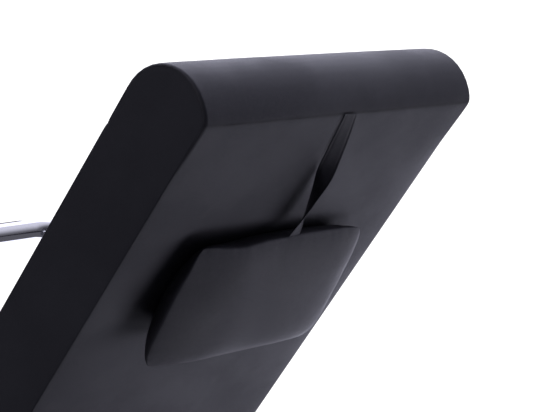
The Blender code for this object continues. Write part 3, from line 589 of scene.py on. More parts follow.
def circle(middle, first, second, radius, sides):
    """Points round a middle, in the plane of two directions."""
    turns = [2 * math.pi * j / sides for j in range(sides)]
    return [middle + (first * math.cos(a) + second * math.sin(a)) * radius for a in turns]


def mark_seam_shade(made, values):
    """Keeps how close each point lies to a seam, for the painted seam shade in the material."""
    layer = made.data.attributes.new("seam", "FLOAT", "POINT")
    layer.data.foreach_set("value", np.array(values, np.float32))


def skin_piece(name, grid, seam_shades, flip, replaced):
    """A leatherette panel over a grid of points, thickened inwards."""
    rows, columns = len(grid), len(grid[0])
    verts = [p for line in grid for p in line]
    faces = grid_faces(rows, columns, flip)
    made = piece(name, verts, faces, LEATHERETTE, replaced=[replaced])
    mark_seam_shade(made, [s for line in seam_shades for s in line])
    made.data.set_sharp_from_angle(angle=math.radians(SKIN_SHARP))
    thick = made.modifiers.new("thickness", "SOLIDIFY")
    thick.thickness = COVER
    thick.offset = -1.0
    return made


def fall(distance, reach):
    """One at a seam, and less and less away from it."""
    return math.exp(-max(distance, 0.0) / reach)


def pucker(position, distance):
    """Height of the little gathers that stitches draw beside a seam."""
    wave = noise.noise((position / PUCKER_PITCH, PUCKER_SEED, distance / PUCKER_LENGTH))
    return PUCKER * wave * fall(distance, PUCKER_REACH)


def ripple(x, station, to_seam, fade):
    """Slow unevenness of the padding, which fades towards a seam."""
    slow = noise.noise((x / RIPPLE_SIZE, station / RIPPLE_SIZE, RIPPLE_SEED))
    return RIPPLE * slow * min(1.0, to_seam / fade)


def sewn_dip(position, to_seam):
    """Depth of the skin beside a cross seam, less the gathers there."""
    return SEAM_DIP * fall(to_seam, SEAM_REACH) - pucker(position, to_seam)


def across():
    """(x, inset, distance from the long seam) over the slab's width, round both long edges."""
    flat = HALF_WIDTH - EDGE_RADIUS
    left = []
    for k in range(EDGE_STEPS + 1):
        a = math.pi / 2 * k / EDGE_STEPS
        x = -flat - EDGE_RADIUS * math.cos(a) + LONG_DIP * fall(EDGE_RADIUS * a, SEAM_REACH)
        left.append((x, EDGE_RADIUS * (1 - math.sin(a)), EDGE_RADIUS * a))
    inner = []
    for k in range(1, FACE_COLUMNS):
        x = -flat * math.cos(math.pi * k / FACE_COLUMNS)
        inner.append((x, 0.0, EDGE_RADIUS * math.pi / 2 + flat - abs(x)))
    right = [(-x, inset, side) for x, inset, side in reversed(left)]
    return left + inner + right


def rolled(x, inset, to_seam):
    """How far the padded edge lies below the slab's surface: little at the ends, more along the slab."""
    share = END_EASE + (1 - END_EASE) * min(1.0, to_seam / CORNER_REACH) ** EASE_POWER
    return inset + share * EDGE_EASE * fall(HALF_WIDTH - abs(x), EDGE_REACH) * (1 - inset / EDGE_RADIUS)


def graded(start, end, sewn=True):
    """Values from start to end, evenly spaced, and closer together at both ends if they are sewn."""
    low = [start + d for d in SEAM_STEPS] if sewn else [start]
    high = [end - d for d in reversed(SEAM_STEPS)] if sewn else [end]
    count = max(int((high[0] - low[-1]) / ROW_STEP), 1)
    middle = [low[-1] + (high[0] - low[-1]) * k / count for k in range(1, count)]
    return low + middle + high


def wrapped_panel(name, start, end, spot, flip, replaced):
    """A panel from one cross seam to another, turned round both long edges of the slab.

    spot gives the (y, z) of a point from its row, its x and inset, and its distances from the
    nearer cross seam and from the long seam.
    """
    section = across()
    grid, seam_shades = [], []
    for row in graded(start, end):
        to_seam = min(row - start, end - row)
        # Painted shade, strongest at the cross seams and weaker along the long seams.
        shade = fall(to_seam, SEAM_SHADE_REACH)
        grid.append([(x, *spot(row, x, inset, to_seam, side)) for x, inset, side in section])
        seam_shades.append([max(shade, LONG_SHADE * fall(side, SEAM_SHADE_REACH)) for _, _, side in section])
    return skin_piece(name, grid, seam_shades, flip, replaced)


def face_upholstery():
    """The lying face, from the foot's cross seam to the head's."""
    start, end = SEAM_IN + GAP + SEAM_DIP / 2, LENGTH - SEAM_IN - GAP - SEAM_DIP / 2

    def spot(station, x, inset, to_seam, side):
        depth = rolled(x, inset, to_seam) + sewn_dip(x, to_seam) - ripple(x, station, side, RIPPLE_FADE)
        drawn = (seam_reach(inset) - SEAM_IN) * max(0.0, 1 - to_seam / CORNER_REACH)
        towards = 1 if station - start < end - station else -1
        return place(station + towards * drawn, HALF - depth)

    return wrapped_panel("face_upholstery", start, end, spot, False, "face_cover")


def end_place(head, inset, angle):
    """The (y, z) of a point on the round end, at an angle from the slab's own direction."""
    radius = END_RADIUS - inset
    reach = END_RADIUS - radius * math.cos(angle)
    return place(LENGTH - reach if head else reach, ARC_HEIGHT + radius * math.sin(angle))


def end_wrap(head, name, replaced):
    """The cover round an end, from its seam under the slab to the cross seam on the face."""
    arc = END_RADIUS * (math.pi / 2 + crease(0.0))

    def spot(run, x, inset, to_seam, side):
        depth = rolled(x, inset, 0.0) + sewn_dip(x + WRAP_PUCKER_SHIFT, to_seam)
        depth -= ripple(x, run + WRAP_RIPPLE_SHIFT, side, RIPPLE_FADE)
        if run < WRAP_REACH:
            reach = END_RADIUS + WRAP_REACH - run
            return place(LENGTH - reach if head else reach, depth - HALF)
        share = (run - WRAP_REACH) / arc
        return end_place(head, depth, share * (math.pi / 2 + crease(inset)) - math.pi / 2)

    return wrapped_panel(name, 0.0, WRAP_REACH + arc, spot, head, replaced)


def underside_upholstery():
    """The cover under the slab, between the two wraps."""
    reach = END_RADIUS + WRAP_REACH + GAP

    def spot(station, x, inset, to_seam, side):
        depth = rolled(x, inset, 0.0) + sewn_dip(x + UNDERSIDE_PUCKER_SHIFT, to_seam)
        return place(station, depth - HALF)

    return wrapped_panel("underside_upholstery", reach, LENGTH - reach, spot, True, "underside_cover")


def side_heights(station, inset):
    """Lowest and highest point of the slab's side at a station, set in from its outline."""
    reach = min(station, LENGTH - station)
    low, high = inset - HALF, HALF - inset
    if reach < END_RADIUS:
        radius = END_RADIUS - inset
        rise = math.sqrt(max(radius ** 2 - (END_RADIUS - reach) ** 2, 0.0))
        low, high = ARC_HEIGHT - rise, min(high, ARC_HEIGHT + rise)
    return low, high


def side_stations(inset):
    """Stations along the side, crowded towards the round ends."""
    turns = [math.pi / 2 * k / END_STEPS for k in range(END_STEPS + 1)]
    radius = END_RADIUS - inset
    foot = [END_RADIUS - radius * math.cos(a) for a in turns]
    middle = graded(END_RADIUS, LENGTH - END_RADIUS, sewn=False)[1:-1]
    return foot + middle + [LENGTH - s for s in reversed(foot)]


def side_panel(name, side, replaced):
    """The boxing on a long edge: a little fuller than flat, and drawn in at its seam."""
    inset = EDGE_RADIUS + GAP
    shares = [(1 - math.cos(math.pi * k / SIDE_COLUMNS)) / 2 for k in range(SIDE_COLUMNS + 1)]
    grid, seam_shades = [], []
    for s in side_stations(inset):
        low, high = side_heights(s, inset)
        reach = min(s, LENGTH - s) - inset
        line, marks = [], []
        for t in shares:
            height = low + (high - low) * t
            to_seam = min(height - low, high - height)
            if reach < END_RADIUS - inset:
                from_middle = math.hypot(END_RADIUS - inset - reach, height - ARC_HEIGHT)
                to_seam = min(to_seam, END_RADIUS - inset - from_middle)
            out = SIDE_BULGE * (1 - fall(to_seam, SIDE_REACH)) - LONG_DIP * fall(to_seam, SEAM_REACH)
            out += pucker(s * SIDE_PUCKER_STRETCH, to_seam)
            out += SIDE_RIPPLE_SHARE * ripple(height + SIDE_RIPPLE_SHIFT, s, to_seam, SIDE_RIPPLE_FADE)
            line.append((side * (HALF_WIDTH + out), *place(s, height)))
            # Painted shade beside the long seams.
            marks.append(LONG_SHADE * fall(to_seam, SEAM_SHADE_REACH))
        grid.append(line)
        seam_shades.append(marks)
    made = skin_piece(name, grid, seam_shades, side > 0, replaced)
    joined = bmesh.new()
    joined.from_mesh(made.data)
    bmesh.ops.remove_doubles(joined, verts=joined.verts, dist=MERGE_DISTANCE)
    joined.to_mesh(made.data)
    joined.free()
    return made


def make_upholstery():
    face_upholstery()
    end_wrap(True, "head_wrap", "head_wrap_cover")
    end_wrap(False, "foot_wrap", "foot_wrap_cover")
    underside_upholstery()
    side_panel("left_side_panel", -1, "left_side_cover")
    side_panel("right_side_panel", 1, "right_side_cover")


def foam_block(node_name, rings):
    """A closed solid of foam over equal rings, with its ends filled and its faces turned out."""
    count, sides = len(rings), len(rings[0])
    verts = [p for ring in rings for p in ring]
    faces = ring_faces(count, sides)
    faces += [tuple(range(sides)), tuple(range((count - 1) * sides, count * sides))]
    made = piece(f"{node_name}_block", verts, faces, FOAM_STUFF, replaced=[node_name])
    shaped = bmesh.new()
    shaped.from_mesh(made.data)
    bmesh.ops.recalc_face_normals(shaped, faces=shaped.faces)
    shaped.to_mesh(made.data)
    shaped.free()
    made.data.set_sharp_from_angle(angle=math.radians(BLOCK_SHARP))
    return made


def foam_slices(start, end, skin, thickness, face):
    """Rings of a foam sheet under the slab's skin, on its lying face (1) or its underside (-1)."""
    inner = COVER + GAP + thickness
    section = [(skin[0][0], inner), *skin, (skin[-1][0], inner)]
    return [[(x, *place(s, face * (HALF - inset))) for x, inset in section]
            for s in graded(start, end, sewn=False)]


def end_slices(head, skin):
    """Rings of the foam in a round end, from one side of the slab to the other."""
    flat = LENGTH - END_PAD if head else END_PAD
    rings = []
    for x, inset in skin:
        depth = inset + SEAM_DIP
        sweep = math.pi / 2 + crease(depth)
        turns = [-math.pi / 2 + sweep * k / END_STEPS for k in range(END_STEPS + 1)]
        arc = [end_place(head, depth, a) for a in turns]
        rings.append([(x, *p) for p in (place(flat, depth - HALF), *arc, place(flat, HALF - depth))])
    return rings


def make_foam():
    """The foam under the face, in the round ends and under the frame."""
    half = HALF_WIDTH - COVER - GAP - SEAM_DIP
    skin = [(max(-half, min(half, x)), rolled(x, inset, CORNER_REACH) + COVER + GAP)
            for x, inset, _ in across()]
    foot, head = END_PAD + GAP, LENGTH - END_PAD - GAP
    thigh, back = THIGH_RUN.start, BACK_RUN.start
    blocks = {
        "leg_foam": foam_slices(foot, thigh - GAP / 2, skin, FOAM, 1),
        "seat_foam": foam_slices(thigh + GAP / 2, back - GAP / 2, skin, FOAM, 1),
        "back_foam": foam_slices(back + GAP / 2, head, skin, FOAM, 1),
        "underside_padding": foam_slices(foot, head, skin, UNDER_PAD, -1),
        "head_end_roll": end_slices(True, skin),
        "foot_end_roll": end_slices(False, skin),
    }
    for node_name, rings in blocks.items():
        foam_block(node_name, rings)


# Neck pillow and strap.

# The pillow's form, a little fuller than in the frame.
PILLOW_HINGE = Vector(JOINTS["pillow_tilt"]["pos_m"])
PILLOW_BACK_PROFILE = (3.6, 0.64)
PILLOW_CORNER_POWER = 6
LEFT_FULLNESS = 2.4
BACK_TOP_POWER = 2.0
PILLOW_CELLS = (90, 52)
PILLOW_CROWDING = 0.6

# Added to the power of its front profile: flatter to the right and below, rounder to the left.
FLATTER = 1.8
ROUNDER = -0.2

# Size, middle and reach of the waves in its outline.
TOP_WAVES = ((0.0030, -1.0, 0.15), (-0.0044, -0.52, 0.22), (0.0014, 0.35, 0.45))
LEFT_WAVES = ((0.0042, 0.68, 0.3), (-0.0011, -0.5, 0.4))
WAVE_POWER = 3
TOP_CURL = 0.5
LEFT_CURL = 0.4

# Its swell: what is held, how far the rest may go, and its cloth.
HELD_BY_SEAM = 0.004
HELD_BY_REST = 0.002
PILLOW_SWELL = 0.003
SIM_FRAMES = 20
PILLOW_CLOTH = {
    "quality": 5,
    "mass": 0.3,
    "tension_stiffness": 20,
    "compression_stiffness": 20,
    "shear_stiffness": 8,
    "bending_stiffness": 0.6,
    "use_pressure": True,
    "uniform_pressure_force": 3.0,
    "vertex_group_mass": "held",
}

# Its seam, the gathers beside it, and the painted shade under it on the back panel.
SEAM_POINTS = 320
SEAM_SMOOTHINGS = 60
PILLOW_GATHER = 0.0007
GATHER_REACH = 0.02
GATHER_STEP = 0.31
GATHER_SEED = 1.3
GATHER_STRETCH = 40
PILLOW_SHADE_REACH = 0.0015
PILLOW_SHADE_DROP = 0.0005

# The strap's turn in degrees at shares of its length, and how it lies.
STRAP_SHARES = (-0.2, 0.0, 0.1, 0.2, 0.38, 0.48, 0.60, 0.77, 0.90, 1.0, 1.2)
STRAP_TURNS = (0, 3, 13, 24, 38, 68, 108, 135, 157, 180, 180)
STRAP_BLUR = 0.07
BLUR_STEPS = 9
STRAP_LEAN = 0.010
STRAP_LIFT_POWER = 0.85
STRAP_STEPS = 80
FOLD_STEPS = 6

# Stitches along the strap. A stitch's profile gives share, swell and lift along its thread.
STITCH_PITCH = 0.004
STITCH_SHARE = 0.74
STITCH_ROW = 0.79
STITCH_SEAT = 0.62
STITCH_SIDES = 8
THREAD_RADIUS = 0.0003
STITCH_PROFILE = (
    (0.0, 0.55, -1.2), (0.12, 0.9, -0.2), (0.3, 1.0, 0.25),
    (0.7, 1.0, 0.25), (0.88, 0.9, -0.2), (1.0, 0.55, -1.2),
)

# Across and out, for half of one face of the strap: a folded edge, its sewn groove and the middle.
STRAP_HALF_FACE = (
    (1.0, 1.0), (0.89, 1.0), (0.83, 0.92), (STITCH_ROW, 0.55), (0.75, 0.80), (0.4, 0.74), (0.0, 0.72),
)


def pillow_matrix():
    """From the pillow's own axes, with its seam in X and Y, to the frame."""
    turn = Matrix.Rotation(PILLOW_TURN, 4, "Z")
    sewn = Vector((-PILLOW_OFFSET, PILLOW_HEIGHT / 2 - PILLOW_PULL, 0.0))
    shift = Vector((0, -STRAP_STITCH, 0)) - turn @ sewn
    return (Matrix.Translation(PILLOW_HINGE) @ Matrix.Rotation(BACK_ANGLE, 4, "X")
            @ Matrix.Translation(shift) @ turn)


def pillow_sag(u, v):
    """How far the soft outline strays from the sewn one: its top edge waves and its left side draws in."""
    top, left = (sum(size * math.exp(-((at - middle) / reach) ** 2) for size, middle, reach in waves)
                 for at, waves in ((u, TOP_WAVES), (v, LEFT_WAVES)))
    top *= ((1 + v) / 2) ** WAVE_POWER
    left *= ((1 - u) / 2) ** WAVE_POWER
    return Vector((left, TOP_CURL * top, LEFT_CURL * left - top))


def pillow_point(u, v, rise):
    """A point over the pillow's outline, for u and v from -1 to 1, at a crown of the rise given.

    The seam's plane rises towards the bottom of the pillow.
    """
    power, steepness = PILLOW_FRONT_PROFILE if rise > 0 else PILLOW_BACK_PROFILE
    corner = abs(u * v) ** PILLOW_CORNER_POWER
    x = u * (PILLOW_WIDTH / 2 - PILLOW_PULL * (1 - v * v)) * (1 - PILLOW_ROUND[0] * corner)
    y = v * (PILLOW_HEIGHT / 2 - PILLOW_PULL * (1 - u * u)) * (1 - PILLOW_ROUND[1] * corner)
    seam = (PILLOW_SEAM_BOTTOM - PILLOW_SEAM_TOP) * (0.5 - y / PILLOW_HEIGHT)
    wide = tall = power
    if rise > 0:
        wide += FLATTER if u > 0 else ROUNDER
        tall += FLATTER if v < 0 else 0.0
    elif v > 0:
        tall = BACK_TOP_POWER
    crown = max((1 - abs(u) ** wide) * (1 - abs(v) ** tall), 0.0) ** steepness
    if rise > 0 and u < 0:
        crown *= 1 + LEFT_FULLNESS * u ** 2 * (1 - abs(u))
    point = Vector((x, y, seam + rise * crown)) + pillow_sag(u, v)
    point.z = max(point.z, GAP - PILLOW_SEAM_TOP)
    return point


def crowded(k, count):
    """A value from -1 to 1 for a step of count, with the steps closer together towards both ends."""
    even = 2 * k / count - 1
    return PILLOW_CROWDING * math.sin(math.pi / 2 * even) + (1 - PILLOW_CROWDING) * even


def pillow_form():
    """Points and faces of the closed pillow, its front and back sharing the seam."""
    columns, rows = PILLOW_CELLS
    verts, faces, index = [], [], {}
    for rise in (PILLOW_CROWN, -PILLOW_BELLY):
        for j in range(rows + 1):
            for i in range(columns + 1):
                edge = i in (0, columns) or j in (0, rows)
                key = (i, j) if edge else (i, j, rise)
                if key not in index:
                    index[key] = len(verts)
                    verts.append(pillow_point(crowded(i, columns), crowded(j, rows), rise))
        for j in range(rows):
            for i in range(columns):
                corners = [(i, j), (i + 1, j), (i + 1, j + 1), (i, j + 1)]
                face = [index.get(c, index.get((*c, rise))) for c in corners]
                faces.append(face if rise > 0 else face[::-1])
    return verts, faces


def seam_ring():
    """Points round the pillow's seam, evenly spaced, in the pillow's axes."""
    corners = [(-1, -1), (1, -1), (1, 1), (-1, 1)]
    fine = []
    for (u0, v0), (u1, v1) in zip(corners, corners[1:] + corners[:1]):
        for k in range(SEAM_POINTS):
            share = k / SEAM_POINTS
            fine.append(pillow_point(u0 + (u1 - u0) * share, v0 + (v1 - v0) * share, 0.0))
    fine = np.array([list(p) for p in fine])
    for _ in range(SEAM_SMOOTHINGS):
        fine = (np.roll(fine, 1, axis=0) + 2 * fine + np.roll(fine, -1, axis=0)) / 4
    closed = np.vstack([fine, fine[:1]])
    run = np.concatenate([[0.0], np.cumsum(np.linalg.norm(np.diff(closed, axis=0), axis=1))])
    even = np.linspace(0.0, run[-1], SEAM_POINTS, endpoint=False)
    return [Vector([np.interp(s, run, closed[:, axis]) for axis in range(3)]) for s in even]


def inflate(made, held, cap):
    """Swells a closed mesh like stuffed cloth, with some points held and the rest kept within cap."""
    group = made.vertex_groups.new(name="held")
    group.add([int(i) for i in np.flatnonzero(held)], 1.0, "REPLACE")
    cloth = made.modifiers.new("swell", "CLOTH")
    for key, value in PILLOW_CLOTH.items():
        setattr(cloth.settings, key, value)
    cloth.settings.effector_weights.gravity = 0.0
    cloth.point_cache.frame_start = 1
    cloth.point_cache.frame_end = SIM_FRAMES
    scene = bpy.context.scene
    for moment in range(1, SIM_FRAMES + 1):
        scene.frame_set(moment)
    start = points_of(made.data)
    swollen = made.evaluated_get(bpy.context.evaluated_depsgraph_get())
    step = points_of(swollen.data) - start
    length = np.linalg.norm(step, axis=1, keepdims=True)
    made.modifiers.remove(cloth)
    scene.frame_set(1)
    set_points(made.data, start + step * np.minimum(1.0, cap / np.maximum(length, 1e-9)))


def points_of(mesh):
    co = np.zeros(len(mesh.vertices) * 3, np.float32)
    mesh.vertices.foreach_get("co", co)
    return co.reshape(-1, 3).astype(float)


def set_points(mesh, points):
    mesh.vertices.foreach_set("co", points.astype(np.float32).ravel())
    mesh.update()


def make_pillow():
    """The stuffed neck pillow: its front and back panels are sewn edge to edge."""
    verts, faces = pillow_form()
    # The pillow takes the lighter copy of the leatherette, which is painted light.
    pillow = piece("neck_pillow", verts, faces, LIT_PILLOW_LEATHERETTE, "pillow",
                   ["pillow_front_panel", "pillow_back_panel", "pillow_filling"])
    ring = np.array([list(p) for p in seam_ring()])
    points = points_of(pillow.data)
    to_seam = np.min(np.linalg.norm(points[:, None] - ring[None], axis=2), axis=1)
    resting = points[:, 2] < GAP - PILLOW_SEAM_TOP + HELD_BY_REST
    inflate(pillow, (to_seam < HELD_BY_SEAM) | resting, PILLOW_SWELL)
    points = points_of(pillow.data)
    gap_to = np.linalg.norm(points[:, None] - ring[None], axis=2)
    nearest = np.argmin(gap_to, axis=1)
    distance = gap_to[np.arange(len(points)), nearest]
    normals = np.zeros(len(points) * 3, np.float32)
    pillow.data.vertices.foreach_get("normal", normals)
    gathers = np.array([noise.noise((n * GATHER_STEP, GATHER_SEED, z * GATHER_STRETCH))
                        for n, z in zip(nearest, points[:, 2])])
    lift = PILLOW_GATHER * gathers * np.exp(-distance / GATHER_REACH)
    set_points(pillow.data, points + normals.reshape(-1, 3) * lift[:, None])
    # Painted shade: the back panel is darkened just under the seam, where the front overhangs it.
    behind = points[:, 2] < ring[nearest, 2] - PILLOW_SHADE_DROP
    mark_seam_shade(pillow, np.exp(-distance / PILLOW_SHADE_REACH) * behind)
    smooth = pillow.modifiers.new("smooth", "SUBSURF")
    smooth.levels = smooth.render_levels = 1
    pillow.data.transform(pillow_matrix())


def strap_twist(share):
    """The strap's turn at a share of its length, smoothed between the places where it was judged."""
    near = np.linspace(share - STRAP_BLUR, share + STRAP_BLUR, BLUR_STEPS)
    return math.radians(float(np.mean(np.interp(near, STRAP_SHARES, STRAP_TURNS))))


def strap_frame(share):
    """Middle of the strap and its directions across and out, at a share of its length."""
    start, end = GAP + STRAP / 2, PILLOW_SEAM_TOP
    twist = strap_twist(share)
    lean = STRAP_LEAN * (1 - (1 - share) ** 2)
    middle = Vector((lean, -STRAP_DROP * share, (end - start) * share ** STRAP_LIFT_POWER))
    aim = Matrix.Rotation(PILLOW_TURN * share, 3, "Z")
    wide = aim @ Vector((math.cos(twist), 0, math.sin(twist)))
    out = aim @ Vector((-math.sin(twist), 0, math.cos(twist)))
    return middle, wide, out


def strap_section():
    """(across, out) points round the strap: folded edges, each with a sewn groove beside it."""
    half, fold = STRAP_WIDTH / 2, STRAP / 2
    face = [*STRAP_HALF_FACE, *((-a, b) for a, b in STRAP_HALF_FACE[-2::-1])]
    points = []
    for side in (1, -1):
        points += [(side * a * (half - fold), side * b * fold) for a, b in face]
        for k in range(1, FOLD_STEPS):
            a = math.pi / 2 + math.pi * k / FOLD_STEPS
            points.append((side * ((math.cos(a) + 1) * fold - half), side * fold * math.sin(a)))
    return points


def stitch(start, end, up, verts, faces):
    """Adds one stitch to a mesh: a short thread that dips into the hole at each end."""
    side = (end - start).normalized().cross(up)
    base = len(verts)
    for share, swell, lift in STITCH_PROFILE:
        middle = start.lerp(end, share) + up * (lift * THREAD_RADIUS)
        verts += circle(middle, side, up, THREAD_RADIUS * swell, STITCH_SIDES)
    faces += ring_faces(len(STITCH_PROFILE), STITCH_SIDES, base)
    faces.append(tuple(range(base, base + STITCH_SIDES))[::-1])
    faces.append(tuple(range(len(verts) - STITCH_SIDES, len(verts))))


def make_strap():
    """A flat band sewn in the cross seam and to the pillow, turned over once on its way."""
    seat = Matrix.Translation(HINGE) @ Matrix.Rotation(BACK_ANGLE, 4, "X")
    section = strap_section()
    verts = []
    for k in range(STRAP_STEPS + 1):
        middle, wide, out = strap_frame(k / STRAP_STEPS)
        verts += [seat @ (middle + wide * a + out * b) for a, b in section]
    count = len(section)
    faces = [(a, d, c, b) for a, b, c, d in ring_faces(STRAP_STEPS + 1, count)]
    faces += [tuple(range(count)), tuple(range(len(verts) - count, len(verts)))[::-1]]
    strap = piece("neck_strap", verts, faces, LEATHERETTE, "strap", ["pillow_strap"])
    strap.data.set_sharp_from_angle(angle=math.radians(STRAP_SHARP))

    verts, faces = [], []
    row, seated = STITCH_ROW * (STRAP_WIDTH - STRAP) / 2, STITCH_SEAT * STRAP / 2
    count = int(STRAP_DROP / STITCH_PITCH)
    for k in range(1, count - 1):
        for edge in (-1, 1):
            for face in (-1, 1):
                ends = []
                for share in (k / count, (k + STITCH_SHARE) / count):
                    middle, wide, out = strap_frame(share)
                    ends.append(seat @ (middle + wide * (edge * row) + out * (face * seated)))
                stitch(*ends, seat.to_3x3() @ out * face, verts, faces)
    piece("strap_stitches", verts, faces, THREAD, "strap")


# Legs, sockets and inner pieces.

TUBE_SIDES = 40
BEND_STEPS = 20
PLATE_CORNER = 0.010
PLATE_CHAMFER = 0.0008
CORNER_STEPS = 8
WELD_RADIUS = 0.0024
WELD_POINTS = 72
WELD_SIDES = 12
WELD_RIPPLES = 26
WELD_SWELL = 0.18
BOLT_SIDES = 48
BOLT_CHAMFER = 0.0008
HEX_RADIUS = 0.0026
HEX_DEPTH = 0.0026
MOUTH_DEPTH = 0.012
SOCKET_LIP = 0.003
STATION_TRIES = 4001
PIN_SIDES = 20
PIN_TIP_TURNS = (0.4, 0.8, 1.2, 1.45)
INLET_PIN = {"radius": 0.0012, "length": 0.0090}
INLET_PINS = [(-0.0034, 0.0), (0.0034, 0.0)]
HANDSET_PIN = {"radius": 0.0006, "length": 0.0075}
HANDSET_RING = 0.0042
HANDSET_TURNS = [math.radians(a) for a in range(0, 181, 45)]
HANDSET_PINS = [(HANDSET_RING * math.cos(a), HANDSET_RING * math.sin(a)) for a in HANDSET_TURNS]

# Inset and depth of the bolt head's dome, from its rim to its flat.
HEAD_DOME = ((0.0, 0.0012), (0.0007, 0.0029), (0.0019, 0.0040), (0.0033, BOLT_HEAD_HEIGHT))

# Rounded edges of the CAD nodes that are kept.
PAD_EDGE = 0.0016
SOCKET_EDGE = 0.0006
BOX_EDGE = 0.0010
EDGE_SEGMENTS = 3
EDGE_ANGLE = 40


def leg_points(end):
    """Points along a leg's tube, the direction up its sides, and the one out of its plane."""
    top = Vector((0, *place(LEG_STATIONS[end], -HALF - GAP - PLATE / 2)))
    foot_y = place(LEG_STATIONS[end], -HALF).x + LEG_SPLAYS[end]
    foot = Vector((0, foot_y, PAD_SOLE + LEG_TUBE_RADIUS))
    seat = Vector((0, *place(LEG_STATIONS[end], -HALF)))
    rise = (seat - foot).normalized()
    corner = foot - ACROSS * (LEG_SPREAD / 2)
    centre = corner + (ACROSS + rise) * LEG_BEND
    left = [top - ACROSS * (LEG_SPREAD / 2) + rise * LEG_TUBE_RADIUS]
    for k in range(BEND_STEPS + 1):
        a = math.pi / 2 * k / BEND_STEPS
        left.append(centre - ACROSS * (LEG_BEND * math.cos(a)) - rise * (LEG_BEND * math.sin(a)))
    right = [Vector((-p.x, p.y, p.z)) for p in reversed(left)]
    return left + right, rise, ACROSS.cross(rise)


def leg_tube(end):
    """A bent tube whose ends are cut to lie in its plates."""
    points, _, out = leg_points(end)
    seat = frame_at(0, LEG_STATIONS[end], -HALF - GAP - PLATE / 2)
    made = bmesh.new()
    rings = []
    for k, point in enumerate(points):
        forward = (points[min(k + 1, len(points) - 1)] - points[max(k - 1, 0)]).normalized()
        side = out.cross(forward).normalized()
        rings.append([made.verts.new(p) for p in circle(point, out, side, LEG_TUBE_RADIUS, TUBE_SIDES)])
    bridge(made, rings)
    made.faces.new(rings[0])
    made.faces.new(rings[-1])
    cut = [*made.verts, *made.edges, *made.faces]
    up = seat.to_3x3() @ UP
    bmesh.ops.bisect_plane(made, geom=cut, plane_co=seat.translation, plane_no=up, clear_outer=True)
    bmesh.ops.holes_fill(made, edges=[e for e in made.edges if e.is_boundary])
    return made


def rounded_plate(made, seat):
    """A plate with round corners and chamfered edges, added to a mesh. Its top is at zero."""
    half_x, half_y = PLATE_WIDTH / 2 - PLATE_CORNER, PLATE_LENGTH / 2 - PLATE_CORNER
    outline = []
    for quarter, (cx, cy) in enumerate(((1, 1), (-1, 1), (-1, -1), (1, -1))):
        for k in range(CORNER_STEPS + 1):
            outline.append((cx * half_x, cy * half_y, math.pi / 2 * (quarter + k / CORNER_STEPS)))
    rings = []
    for inset, z in ((PLATE_CHAMFER, -PLATE), (0.0, PLATE_CHAMFER - PLATE), (0.0, -PLATE_CHAMFER),
                     (PLATE_CHAMFER, 0.0)):
        radius = PLATE_CORNER - inset
        rings.append([made.verts.new(seat @ Vector((x + radius * math.cos(a), y + radius * math.sin(a), z)))
                      for x, y, a in outline])
    bridge(made, rings)
    made.faces.new(rings[0][::-1])
    made.faces.new(rings[-1])


def weld_ring(end, side):
    """Points of the bead where the tube meets the underside of its plate."""
    points, rise, out = leg_points(end)
    seat = frame_at(side * LEG_SPREAD / 2, LEG_STATIONS[end], -HALF - GAP - PLATE)
    normal = seat.to_3x3() @ UP
    axis = points[0] if side < 0 else points[-1]
    return [start + rise * (normal.dot(seat.translation - start) / normal.dot(rise))
            for start in circle(axis, ACROSS, out, LEG_TUBE_RADIUS, WELD_POINTS)]


def weld_bead(ring):
    """Points and faces of a weld along a closed ring of points, swollen at each ripple."""
    verts = []
    for k, point in enumerate(ring):
        forward = (ring[(k + 1) % len(ring)] - ring[k - 1]).normalized()
        side = forward.cross(UP).normalized()
        swell = 1 + WELD_SWELL * math.cos(2 * math.pi * WELD_RIPPLES * k / len(ring))
        verts += circle(point, side, side.cross(forward), WELD_RADIUS * swell, WELD_SIDES)
    return verts, ring_faces(len(ring), WELD_SIDES, closed=True)


def finished(name, made, material, replaced=(), angle=METAL_SHARP):
    """A piece from an edited mesh, with its faces turned out and its sharp edges kept."""
    bmesh.ops.recalc_face_normals(made, faces=made.faces)
    shaped = piece(name, [], [], material, replaced=replaced)
    made.to_mesh(shaped.data)
    made.free()
    shaped.data.shade_smooth()
    shaped.data.set_sharp_from_angle(angle=math.radians(angle))


def ease_edges(name, width):
    """Rounds the sharp edges of a CAD node that is kept."""
    eased = NODES[name].modifiers.new("eased_edges", "BEVEL")
    eased.width = width
    eased.segments = EDGE_SEGMENTS
    eased.limit_method = "ANGLE"
    eased.angle_limit = math.radians(EDGE_ANGLE)


def make_legs():
    """Chrome tubes with their plates and weld beads, and the edges of the pads under them."""
    for end in ("front", "rear"):
        made = leg_tube(end)
        for side in (-1, 1):
            rounded_plate(made, frame_at(side * LEG_SPREAD / 2, LEG_STATIONS[end], -HALF - GAP))
        finished(f"{end}_leg", made, CHROME, [f"{end}_leg_frame"])
        for side, label in ((-1, "left"), (1, "right")):
            verts, faces = weld_bead(weld_ring(end, side))
            piece(f"{end}_{label}_weld", verts, faces, CHROME)
            ease_edges(f"{end}_{label}_pad", PAD_EDGE)


def bolt_shape():
    """A button-head bolt with a hexagon socket, its head's underside at zero and its tip up."""
    turns = [2 * math.pi * j / BOLT_SIDES for j in range(BOLT_SIDES)]
    outline = [(BOLT_RADIUS - BOLT_CHAMFER, BOLT_LENGTH), (BOLT_RADIUS, BOLT_LENGTH - BOLT_CHAMFER),
               (BOLT_RADIUS, 0.0), (BOLT_HEAD_RADIUS, 0.0)]
    outline += [(BOLT_HEAD_RADIUS - inset, -depth) for inset, depth in HEAD_DOME]
    rings = [[(radius, z)] * BOLT_SIDES for radius, z in outline]
    flats = [HEX_RADIUS * math.cos(math.pi / 6) / math.cos(a % (math.pi / 3) - math.pi / 6) for a in turns]
    for depth in (BOLT_HEAD_HEIGHT, BOLT_HEAD_HEIGHT - HEX_DEPTH):
        rings.append([(radius, -depth) for radius in flats])
    made = bmesh.new()
    shaped = []
    for ring in rings:
        shaped.append([made.verts.new((radius * math.cos(a), radius * math.sin(a), z))
                       for a, (radius, z) in zip(turns, ring)])
    bridge(made, shaped)
    made.faces.new(shaped[0])
    made.faces.new(shaped[-1][::-1])
    return made


